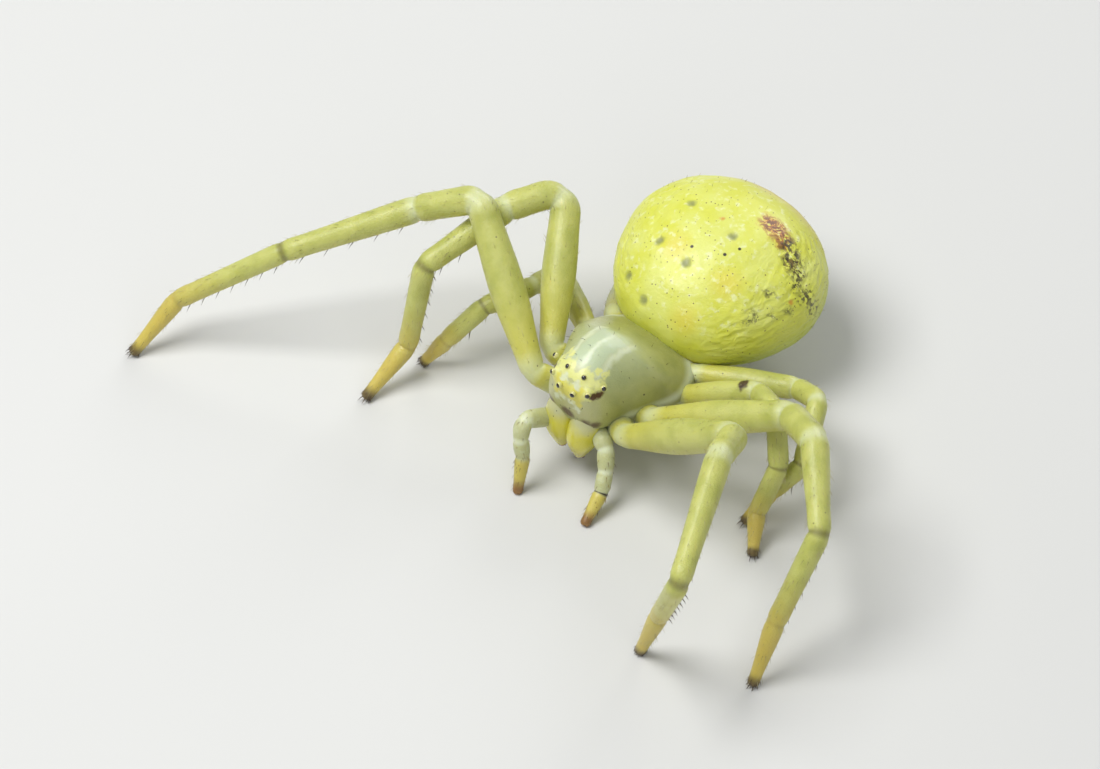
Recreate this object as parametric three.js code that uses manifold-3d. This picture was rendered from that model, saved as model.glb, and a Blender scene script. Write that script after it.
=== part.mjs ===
// A crab spider with its legs spread, life-size, standing on the plane z = 0.
// Millimetres, +Z up. The head looks along -Y and the spider's left side is at +X.
import * as THREE from 'three';
import { mergeVertices } from 'three/addons/utils/BufferGeometryUtils.js';
import Module from 'manifold-3d';

const wasm = await Module();
wasm.setup();

// How the trunk is carried above the floor. Its own frame starts between the second hips.
const RIDE_HEIGHT = 2.2;
const TRUNK_PITCH = 8.8;
const TRUNK_ROLL = 4.4;
const PLAN_SHIFT = new THREE.Vector2(1.2, -0.7);

// Fits between neighbouring pieces, and where a foot's middle ends above the floor
const JOINT_GAP = 0.06;
const FOOT_LEVEL = 0.12;
const FOOT_REACH = 0.16;

// Head and thorax, the upper shield and the plate under it
const CARAPACE = {
  middle: -0.16, length: 3.6, halfWidth: 1.62, headHalfWidth: 0.98, rim: -0.35, dome: 1.85, under: 0.35,
};
const STERNUM = { middle: -0.1, halfLength: 1.2, halfWidth: 0.8, top: -0.62, depth: 0.56 };
const ABDOMEN = {
  middle: 3.5, halfLength: 2.48, halfWidth: 2.7, centreHeight: -0.38, above: 1.72, below: 1.5, tilt: -4,
};
const SPINNERETS = { root: [0, 5.5, -1.15], tip: [0, 6.0, -1.45], radius: 0.34 };

// Face
const CHELICERA = { top: [0.38, -1.66, 0.12], tip: [0.27, -1.98, -1.52], width: 0.34 };
const EYES = {
  front_middle: { at: [0.21, -1.93, 1.01], radius: 0.095 },
  front_side: { at: [0.54, -1.77, 1.1], radius: 0.11 },
  rear_middle: { at: [0.25, -1.53, 1.3], radius: 0.085 },
  rear_side: { at: [0.76, -1.43, 1.2], radius: 0.1 },
};
const PALP_GIRTH = [0.25, 0.25, 0.22, 0.2, 0.19, 0.13];
const PALP_ROUTES = {
  left: [[0.45, -1.55, -0.62], [0.85, -1.76, -0.45], [1.1, -1.9, -0.55], [1.35, -2.23, -0.88], [1.5, -2.6, -1.22],
    [1.62, -3.32, -1.5]],
  right: [[-0.45, -1.55, -0.62], [-0.62, -2.1, -0.56], [-0.75, -2.73, -0.05], [-0.6, -3.02, -0.41],
    [-0.45, -3.16, -0.84], [-0.29, -3.6, -1.62]],
};

// Legs: the lengths of femur, patella, tibia, metatarsus and tarsus, where the coxa starts and the
// femur hinges on the trunk's left side, and the girth (half thickness) at the root, femur base,
// femur middle, knee, patella end, tibia end, metatarsus end and tip
const LEGS = {
  1: {
    lengths: [4.32, 1.66, 3.47, 3.04, 1.68], root: [0.5, -0.95, -0.85], hinge: [1.46, -1.55, -0.05],
    girth: [0.36, 0.31, 0.45, 0.37, 0.34, 0.27, 0.24, 0.15],
  },
  2: {
    lengths: [3.91, 1.55, 2.42, 2.47, 1.54], root: [0.62, -0.4, -0.9], hinge: [1.62, -0.74, -0.15],
    girth: [0.36, 0.31, 0.43, 0.37, 0.36, 0.28, 0.25, 0.15],
  },
  3: {
    lengths: [2.17, 0.97, 1.32, 1.31, 0.95], root: [0.6, 0.18, -0.9], hinge: [1.5, 0.42, -0.6],
    girth: [0.32, 0.26, 0.31, 0.28, 0.26, 0.25, 0.23, 0.14],
  },
  4: {
    lengths: [2.52, 1.03, 1.69, 1.17, 0.92], root: [0.45, 0.7, -0.88], hinge: [1.3, 1.12, -0.68],
    girth: [0.34, 0.27, 0.32, 0.28, 0.26, 0.25, 0.23, 0.14],
  },
};

// Pose: the compass heading and the rise of each length in degrees, seen from above with +X as 0 and
// +Y as 90. The last number is the tarsus's heading, whose rise follows from the floor.
const POSE = {
  left_1: [-1, 36, -62, 31, -65, -14, 151, -61, 184],
  left_2: [18, 25, -26, 22, -46, -16, -95, -54, -85],
  left_3: [18, 26, -22, 13, -45, -46, -100, -59, -56],
  left_4: [26, 4, -17, 25, -63, -21, -139, -51, -107],
  right_1: [153, 38, 210, -23, 225, -21, 224, -30, 251],
  right_2: [124, 33, 240, -6, 254, -16, 259, -76, 262],
  right_3: [150, -5, 269, 17, 248, -4, 237, -43, 216],
  right_4: [125, -30, 104, 24, 97, -10, 79, -17, 80],
};

// Fineness of the faceted surfaces
const TUBE_SIDES = 10;
const TUBE_STEP = 0.42;

const { degToRad, lerp, smoothstep } = THREE.MathUtils;

const SKIN = { roughness: 0.4, metalness: 0 };
const materials = {
  thorax: new THREE.MeshStandardMaterial({ color: 0xa9b06a, ...SKIN }),
  abdomen: new THREE.MeshStandardMaterial({ color: 0xd6dc5c, ...SKIN }),
  leg: new THREE.MeshStandardMaterial({ color: 0xb9bc58, ...SKIN }),
  foot: new THREE.MeshStandardMaterial({ color: 0xc9a83c, ...SKIN }),
  jaw: new THREE.MeshStandardMaterial({ color: 0xd8c86a, ...SKIN }),
  eye: new THREE.MeshStandardMaterial({ color: 0x14100c, roughness: 0.1, metalness: 0 }),
};

const trunkMatrix = new THREE.Matrix4()
  .makeTranslation(PLAN_SHIFT.x, PLAN_SHIFT.y, RIDE_HEIGHT)
  .multiply(new THREE.Matrix4().makeRotationX(degToRad(TRUNK_PITCH)))
  .multiply(new THREE.Matrix4().makeRotationY(degToRad(TRUNK_ROLL)));

const spider = new THREE.Group();
spider.name = 'crab_spider';

// Puts a point of the trunk's frame in its place above the floor.
function onTrunk([x, y, z], side = 1) {
  return new THREE.Vector3(side * x, y, z).applyMatrix4(trunkMatrix);
}

// Makes a closed solid of a geometry, for cutting.
function asSolid(geometry) {
  const bare = geometry.clone();
  bare.deleteAttribute('normal');
  bare.deleteAttribute('uv');
  const merged = mergeVertices(bare, 1e-5);
  return new wasm.Manifold(new wasm.Mesh({
    numProp: 3,
    vertProperties: new Float32Array(merged.attributes.position.array),
    triVerts: new Uint32Array(merged.index.array),
  }));
}

// Gives the largest body of a solid back as a geometry.
function asGeometry(solid) {
  const bodies = solid.decompose().sort((a, b) => b.volume() - a.volume());
  const mesh = bodies[0].getMesh();
  const geometry = new THREE.BufferGeometry();
  geometry.setAttribute('position', new THREE.BufferAttribute(mesh.vertProperties, 3));
  geometry.setIndex(new THREE.BufferAttribute(mesh.triVerts, 1));
  geometry.computeVertexNormals();
  return geometry;
}

// Cuts the cutters out of a geometry.
function without(geometry, ...cutters) {
  return asGeometry(cutters.reduce((solid, cutter) => solid.subtract(asSolid(cutter)), asSolid(geometry)));
}

function addPiece(name, geometry, material) {
  const mesh = new THREE.Mesh(geometry, material);
  mesh.name = name;
  spider.add(mesh);
  return mesh;
}

// A sphere reshaped by a function of t (-1 at the front pole, +1 at the rear) and the direction
// round the long axis. It returns the point in the trunk's frame.
function shapedBall(columns, rows, place) {
  const geometry = new THREE.SphereGeometry(1, columns, rows);
  const position = geometry.attributes.position;
  for (let i = 0; i < position.count; i++) {
    const t = THREE.MathUtils.clamp(position.getY(i), -1, 1);
    const ring = Math.hypot(position.getX(i), position.getZ(i));
    const across = ring > 1e-6 ? position.getX(i) / ring : 0;
    const up = ring > 1e-6 ? position.getZ(i) / ring : 0;
    const point = place(t, across, up);
    position.setXYZ(i, point.x, point.y, point.z);
  }
  return geometry;
}

// A power that keeps the sign, for boxy round sections.
function boxy(value, power) {
  return Math.sign(value) * Math.abs(value) ** power;
}

// How wide a rounded outline still is at t: 1 in the middle, 0 at the poles.
function fullness(t, power) {
  return Math.max(0, 1 - Math.abs(t) ** power) ** (1 / power);
}

// The shield: blunt at the face, widest behind the middle, with a narrow crown and steep flanks. The
// grow distance makes the same form a little larger, for cutting its neighbours.
function carapace(grow = 0) {
  return shapedBall(30, 20, (t, across, up) => {
    const front = t < 0;
    const full = fullness(t, front ? 4 : 2.6);
    const fall = front ? full : (1 - Math.min(1, t) ** 1.4) ** 1.1;
    const flank = lerp(CARAPACE.headHalfWidth, CARAPACE.halfWidth, smoothstep(t, -0.8, 0.3));
    const boxiness = up > 0 ? lerp(0.8, 1.08, smoothstep(t, -0.9, -0.3)) : 0.8;
    const x = (flank * full + grow) * boxy(across, boxiness);
    const headLift = front ? 0.3 * smoothstep(-t, 0.35, 0.95) : 0;
    const crown = CARAPACE.dome - headLift;
    const rise = up > 0 ? crown * fall : CARAPACE.under * full;
    const z = CARAPACE.rim + headLift + (rise + grow) * boxy(up, boxiness);
    const y = CARAPACE.middle + t * (CARAPACE.length / 2 + grow);
    return new THREE.Vector3(x, y, z).applyMatrix4(trunkMatrix);
  });
}

// The abdomen: a globe with a blunt front, widest towards the rear and flatter below.
function abdomen(grow = 0) {
  const tilt = degToRad(ABDOMEN.tilt);
  return shapedBall(32, 20, (t, across, up) => {
    const full = fullness(t, t < 0 ? 2.5 : 2.1);
    const taper = lerp(0.84, 1, smoothstep(t, -1, 0.25));
    const x = (ABDOMEN.halfWidth * full * taper + grow) * boxy(across, 0.94);
    const rise = (up > 0 ? ABDOMEN.above : ABDOMEN.below) * full * lerp(0.86, 1, smoothstep(t, -1, 0));
    const z = (rise + grow) * boxy(up, 0.94);
    const y = t * (ABDOMEN.halfLength + grow);
    return new THREE.Vector3(
      x,
      ABDOMEN.middle + y * Math.cos(tilt) - z * Math.sin(tilt),
      ABDOMEN.centreHeight + y * Math.sin(tilt) + z * Math.cos(tilt),
    ).applyMatrix4(trunkMatrix);
  });
}

// The plate between the hips.
function sternum() {
  return shapedBall(18, 10, (t, across, up) => {
    const full = fullness(t, 2.4);
    const x = STERNUM.halfWidth * full * boxy(across, 0.8);
    const z = STERNUM.top - STERNUM.depth + STERNUM.depth * full * boxy(up, 0.8);
    return new THREE.Vector3(x, STERNUM.middle + t * STERNUM.halfLength, z).applyMatrix4(trunkMatrix);
  });
}

function ball(centre, radius, columns = 8, rows = 6) {
  return new THREE.SphereGeometry(radius, columns, rows).translate(centre.x, centre.y, centre.z);
}

// An arc that rounds the corner between two straight lengths.
class Bend extends THREE.Curve {
  constructor(corner, before, after, radius) {
    super();
    this.angle = before.angleTo(after);
    this.axis = before.clone().cross(after).normalize();
    this.arm = this.axis.clone().cross(before).multiplyScalar(-radius);
    this.reach = radius * Math.tan(this.angle / 2);
    this.centre = corner.clone().addScaledVector(before, -this.reach).sub(this.arm);
  }

  getPoint(t, target = new THREE.Vector3()) {
    return target.copy(this.arm).applyAxisAngle(this.axis, this.angle * t).add(this.centre);
  }
}

// A limb's middle line through its joints, with each corner rounded about as tightly as the limb is
// thick. joints holds how far along the line each joint lies.
function limbRoute(points, girth) {
  const lengths = points.slice(1).map((point, i) => point.distanceTo(points[i]));
  const headings = points.slice(1).map((point, i) => point.clone().sub(points[i]).normalize());
  const radii = points.map((_, i) => girth[i] * 1.15);
  const reach = radii.map((radius, i) => (
    i === 0 || i === points.length - 1 ? 0 : radius * Math.tan(headings[i - 1].angleTo(headings[i]) / 2)
  ));
  for (let i = 1; i < points.length - 1; i++) {
    const room = Math.min(
      lengths[i - 1] * 0.96 / (reach[i - 1] + reach[i]),
      lengths[i] * 0.96 / (reach[i] + reach[i + 1]),
    );
    radii[i] *= Math.min(1, room);
  }
  const path = new THREE.CurvePath();
  const joints = [0];
  let from = points[0];
  for (let i = 1; i < points.length - 1; i++) {
    const bend = new Bend(points[i], headings[i - 1], headings[i], radii[i]);
    path.add(new THREE.LineCurve3(from, bend.getPoint(0)));
    path.add(bend);
    joints.push(path.getLength() - bend.getLength() / 2);
    path.cacheLengths = null;
    from = bend.getPoint(1);
  }
  path.add(new THREE.LineCurve3(from, points.at(-1)));
  path.cacheLengths = null;
  joints.push(path.getLength());
  return { path, joints, length: path.getLength() };
}

// The limb's half thickness at a distance along its line, eased between the girths at its stations.
function girthAt(stations, girths, distance) {
  const last = stations.length - 1;
  const i = Math.max(1, stations.findIndex((station, k) => k > 0 && distance <= station));
  if (distance >= stations[last]) return girths[last];
  return lerp(girths[i - 1], girths[i], smoothstep(distance, stations[i - 1], stations[i]));
}

// One length of a limb: a closed cylinder bent along the line from one distance to another.
function limbLength(limb, from, to, side, extra = 0) {
  const rings = Math.max(2, Math.ceil((to - from) / TUBE_STEP));
  const geometry = new THREE.CylinderGeometry(1, 1, 1, TUBE_SIDES, rings);
  const position = geometry.attributes.position;
  const total = limb.route.length;
  for (let i = 0; i < position.count; i++) {
    const distance = lerp(from, to, position.getY(i) + 0.5);
    const u = THREE.MathUtils.clamp(distance / total, 0, 1);
    const centre = limb.route.path.getPoint(u);
    const along = limb.route.path.getTangent(u);
    centre.addScaledVector(along, distance - u * total);
    const across = side.clone().addScaledVector(along, -side.dot(along)).normalize();
    const outward = across.clone().cross(along);
    const radius = girthAt(limb.stations, limb.girths, distance) + extra;
    centre.addScaledVector(across, position.getX(i) * radius);
    centre.addScaledVector(outward, position.getZ(i) * radius);
    position.setXYZ(i, centre.x, centre.y, centre.z);
  }
  return geometry;
}

// The joints of a leg from its root in the trunk to its tip on the floor.
function legJoints(number, sideSign, angles) {
  const { lengths, root, hinge } = LEGS[number];
  const joints = [onTrunk(root, sideSign), onTrunk(hinge, sideSign)];
  const direction = (heading, rise) => new THREE.Vector3(
    Math.cos(heading) * Math.cos(rise), Math.sin(heading) * Math.cos(rise), Math.sin(rise),
  );
  for (let i = 0; i < 4; i++) {
    const step = direction(degToRad(angles[2 * i]), degToRad(angles[2 * i + 1]));
    joints.push(joints.at(-1).clone().addScaledVector(step, lengths[i]));
  }
  const drop = Math.asin((joints.at(-1).z - FOOT_LEVEL) / lengths[4]);
  joints.push(joints.at(-1).clone().addScaledVector(direction(degToRad(angles[8]), -drop), lengths[4]));
  return joints;
}

function makeLeg(name) {
  const [sideName, number] = name.split('_');
  const sideSign = sideName === 'left' ? 1 : -1;
  const joints = legJoints(number, sideSign, POSE[name]);
  const { girth } = LEGS[number];
  const bare = [girth[0], girth[1], girth[3], girth[4], girth[5], girth[6], girth[7]];
  const route = limbRoute(joints, bare);
  const at = route.joints;
  const stations = [at[0], at[1], (at[1] + at[2]) / 2, at[2], at[3], at[4], at[5], at[6]];
  const limb = { route, stations, girths: girth };
  const side = joints[2].clone().sub(joints[1]).cross(joints[4].clone().sub(joints[2])).normalize();
  return { name, number, limb, side, at };
}

const floorBlock = new THREE.BoxGeometry(60, 60, 2).translate(0, 0, -1);
const half = JOINT_GAP / 2;
const legs = Object.keys(POSE).map(makeLeg);

const hipSolids = [];
const femurSolids = [];
for (const leg of legs) {
  const { name, limb, side, at } = leg;
  const hip = limbLength(limb, at[0], at[1] - half, side);
  hipSolids.push(limbLength(limb, at[0] - JOINT_GAP, at[1] - half, side, JOINT_GAP));
  femurSolids.push(limbLength(limb, at[1] - JOINT_GAP, (at[1] + at[2]) / 2, side, JOINT_GAP));
  const foot = limbLength(limb, at[4] + half, at[6] + FOOT_REACH, side);
  addPiece(`hip_${name}`, hip, materials.leg);
  addPiece(`femur_${name}`, limbLength(limb, at[1] + half, at[2] - half, side), materials.leg);
  addPiece(`shin_${name}`, limbLength(limb, at[2] + half, at[4] - half, side), materials.leg);
  addPiece(`foot_${name}`, without(foot, floorBlock), materials.foot);
}

// Palps: a short upper length and the tip, both bent along one line
const palpSolids = [];
for (const [sideName, places] of Object.entries(PALP_ROUTES)) {
  const joints = places.map((place) => onTrunk(place));
  const route = limbRoute(joints, PALP_GIRTH);
  const limb = { route, stations: route.joints, girths: PALP_GIRTH };
  const side = joints[2].clone().sub(joints[0]).cross(joints.at(-1).clone().sub(joints[2])).normalize();
  const split = route.joints[4];
  palpSolids.push(limbLength(limb, -JOINT_GAP, split, side, JOINT_GAP));
  addPiece(`palp_${sideName}`, without(limbLength(limb, 0, split - half, side), ...hipSolids), materials.leg);
  addPiece(`palp_tip_${sideName}`, without(limbLength(limb, split + half, route.length, side), floorBlock),
    materials.foot);
}

// Jaws: a swollen base under the face that narrows to the short curved fang at its tip
function chelicera(sideSign, grow = 0) {
  const top = new THREE.Vector3(...CHELICERA.top);
  const tip = new THREE.Vector3(...CHELICERA.tip);
  return shapedBall(14, 10, (t, across, up) => {
    const down = (t + 1) / 2;
    const full = fullness(t, 2.6) * lerp(1, 0.62, smoothstep(down, 0.35, 1));
    const centre = top.clone().lerp(tip, down);
    const width = CHELICERA.width * full + grow;
    const depth = CHELICERA.width * 1.05 * full + grow;
    return new THREE.Vector3(
      sideSign * centre.x + width * across, centre.y + depth * up, centre.z,
    ).applyMatrix4(trunkMatrix);
  });
}

const jaws = [['left', 1], ['right', -1]];
const shield = without(carapace(), ...hipSolids, ...femurSolids, ...palpSolids,
  ...jaws.map(([, sign]) => chelicera(sign, JOINT_GAP)),
  ...Object.values(EYES).flatMap(({ at, radius }) => [1, -1].map((sign) => (
    ball(onTrunk(at, sign), radius + JOINT_GAP * 0.3)))));
addPiece('carapace', shield, materials.thorax);
for (const [sideName, sign] of jaws) {
  addPiece(`chelicera_${sideName}`, without(chelicera(sign), ...palpSolids), materials.jaw);
}

addPiece('sternum', without(sternum(), ...hipSolids, ...palpSolids, carapace(JOINT_GAP)), materials.thorax);

addPiece('abdomen', without(abdomen(), carapace(JOINT_GAP), ...femurSolids), materials.abdomen);

// The spinnerets: a short blunt cone below the rear end
const spinneretRoot = onTrunk(SPINNERETS.root);
const spinneretAxis = onTrunk(SPINNERETS.tip).sub(spinneretRoot);
const spinnerets = new THREE.CylinderGeometry(
  SPINNERETS.radius * 0.6, SPINNERETS.radius, spinneretAxis.length(), TUBE_SIDES,
).applyQuaternion(new THREE.Quaternion().setFromUnitVectors(
  new THREE.Vector3(0, 1, 0), spinneretAxis.clone().normalize(),
)).translate(...spinneretRoot.addScaledVector(spinneretAxis, 0.5).toArray());
addPiece('spinnerets', without(spinnerets, abdomen(JOINT_GAP)), materials.abdomen);

for (const [place, { at, radius }] of Object.entries(EYES)) {
  addPiece(`eye_${place}_left`, ball(onTrunk(at), radius), materials.eye);
  addPiece(`eye_${place}_right`, ball(onTrunk(at, -1), radius), materials.eye);
}

export default spider;
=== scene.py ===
"""Dresses the solids of a life-size crab spider that stands with its legs spread.

The animal is small, so its sizes are in millimetres here, and a finished mesh is scaled to
metres. The trunk has a frame of its own, which is pitched and rolled a little above the floor. In
both frames the head looks along -Y, the spider's left side is at +X and +Z is up.
"""

import logging
import math
import random
from dataclasses import dataclass
from enum import Enum
from functools import partial, reduce
from operator import or_
from typing import Callable, Mapping, Sequence

import bmesh
import bpy
from mathutils import Matrix, Quaternion, Vector, noise

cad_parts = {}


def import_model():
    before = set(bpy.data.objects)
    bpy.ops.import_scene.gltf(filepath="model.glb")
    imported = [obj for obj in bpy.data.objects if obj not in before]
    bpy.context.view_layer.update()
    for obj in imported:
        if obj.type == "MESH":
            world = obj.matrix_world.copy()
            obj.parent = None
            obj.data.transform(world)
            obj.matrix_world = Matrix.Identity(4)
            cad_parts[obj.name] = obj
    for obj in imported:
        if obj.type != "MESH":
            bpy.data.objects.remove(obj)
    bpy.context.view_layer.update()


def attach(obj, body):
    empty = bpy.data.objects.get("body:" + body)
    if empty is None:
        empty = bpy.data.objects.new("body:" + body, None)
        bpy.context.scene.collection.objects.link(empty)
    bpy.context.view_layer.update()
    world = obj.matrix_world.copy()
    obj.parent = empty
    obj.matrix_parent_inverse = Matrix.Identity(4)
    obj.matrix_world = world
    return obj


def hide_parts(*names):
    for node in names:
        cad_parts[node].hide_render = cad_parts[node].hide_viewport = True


LOG = logging.getLogger("crab_spider")
METRES = 0.001

# How deep the roots of fine bristles sink into the skin, and how close to the floor a skin and a
# bristle may come
ROOT_DEPTH = 0.01
SKIN_CLEARANCE = 0.01
BRISTLE_CLEARANCE = 0.012

# How the trunk is carried above the floor
RIDE_HEIGHT = 2.2
TRUNK_PITCH = 8.8
TRUNK_ROLL = 4.4
PLAN_SHIFT = (1.2, -0.7)

TRUNK = (
    Matrix.Translation((*PLAN_SHIFT, RIDE_HEIGHT))
    @ Matrix.Rotation(math.radians(TRUNK_PITCH), 4, "X")
    @ Matrix.Rotation(math.radians(TRUNK_ROLL), 4, "Y")
)

Colour = tuple[float, float, float]
Point = tuple[float, float, float]


class Side(Enum):
    """A side of the body, with the sign of its X in the trunk's frame."""

    LEFT = 1
    RIGHT = -1

    @property
    def word(self) -> str:
        """The side's word in the names of pieces and nodes."""
        return self.name.lower()

    def mirrored(self, point: Point) -> Vector:
        """Gives a point of the left side, or its mirror image on the right."""
        return Vector((self.value * point[0], point[1], point[2]))


class Slot(Enum):
    """The record's material slots."""

    THORAX = "thorax"
    ABDOMEN = "abdomen"
    LEG = "leg"
    FOOT = "foot"
    JAW = "jaw"
    EYE = "eye"


def smoothstep(value: float, low: float, high: float) -> float:
    """Eases from 0 to 1.

    Args:
        value: The number to ease.
        low: Where the result is still 0.
        high: Where the result reaches 1.

    Returns:
        A number from 0 to 1.
    """
    t = min(1.0, max(0.0, (value - low) / (high - low)))
    return t * t * (3 - 2 * t)


def lerp(start: float, end: float, share: float) -> float:
    """Gives the number that lies a share of the way from start to end."""
    return start + (end - start) * share


def boxy(value: float, power: float) -> float:
    """Raises a number to a power and keeps its sign, for boxy round sections."""
    return math.copysign(abs(value) ** power, value)


def fullness(t: float, power: float) -> float:
    """Gives how wide a rounded outline still is at t, from 1 in the middle to 0 at the poles."""
    return max(0.0, 1 - abs(t) ** power) ** (1 / power)


def hump(distance: float, width: float) -> float:
    """Gives a soft bell, 1 at distance 0 and next to nothing two widths away."""
    return math.exp(-((distance / width) ** 2))


def pointed(axis: Vector) -> Matrix:
    """Gives the turn that points +Z along an axis."""
    return axis.to_track_quat("Z", "Y").to_matrix().to_4x4()


def trunk_way(way: Point) -> Vector:
    """Gives a direction of the trunk's frame as it is seen from the floor."""
    return (TRUNK.to_3x3() @ Vector(way)).normalized()


@dataclass(frozen=True)
class Mark:
    """A mark on the skin, painted as overlapping spots.

    Attributes:
        points: The spots' centres, in the trunk's frame.
        radius: Where a spot has faded to nothing.
        soft: The share of the radius over which it fades.
        strength: How strongly its colour covers what lies below.
    """

    points: tuple[Point, ...]
    radius: float
    soft: float
    strength: float = 1.0


@dataclass(frozen=True)
class Speckle:
    """Small round dots scattered over a skin.

    Attributes:
        scale: How many cells fit in a millimetre, each with one dot at most.
        size: A dot's radius as a share of its cell.
        share: How many of the cells have a dot.
        strength: How strongly the dots cover what lies below.
    """

    scale: float
    size: float
    share: float
    strength: float


class Value:
    """A number that varies over a surface. Arithmetic on it adds Math nodes to its graph."""

    def __init__(self, graph: "Graph", socket: bpy.types.NodeSocket) -> None:
        """Keeps the graph and the output socket that carries the number."""
        self.graph = graph
        self.socket = socket

    def __add__(self, other: "Value | float") -> "Value":
        """Adds."""
        return self.graph.maths("ADD", self, other)

    __radd__ = __add__

    def __mul__(self, other: "Value | float") -> "Value":
        """Multiplies."""
        return self.graph.maths("MULTIPLY", self, other)

    def __sub__(self, other: "Value | float") -> "Value":
        """Subtracts a number from this one."""
        return self.graph.maths("SUBTRACT", self, other)

    def __rsub__(self, other: float) -> "Value":
        """Subtracts this one from a number."""
        return self.graph.maths("SUBTRACT", other, self)

    def __abs__(self) -> "Value":
        """Drops the sign."""
        return self.graph.maths("ABSOLUTE", self)

    def __or__(self, other: "Value") -> "Value":
        """Joins two masks: the larger of the two."""
        return self.graph.maths("MAXIMUM", self, other)

    def rise(self, low: float, high: float) -> "Value":
        """Eases from 0 at low to 1 at high; with low above high, the mask falls instead.

        Args:
            low: Where the mask is 0.
            high: Where the mask is 1.

        Returns:
            The mask.
        """
        if low > high:
            return 1 - self.rise(high, low)
        settings = {"interpolation_type": "SMOOTHSTEP"}
        node = self.graph.node("ShaderNodeMapRange", settings, {0: self, 1: low, 2: high})
        return Value(self.graph, node.outputs[0])

    def near(self, centre: float, width: float) -> "Value":
        """Gives a mask that is 1 at centre and fades out at width on both sides."""
        return abs(self - centre).rise(width, 0.0)

    def near_any(self, bands: Sequence[tuple[float, float]]) -> "Value":
        """Gives a mask that is 1 at each band's centre and fades out at the band's width."""
        return reduce(or_, (self.near(centre, width) for centre, width in bands))


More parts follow.
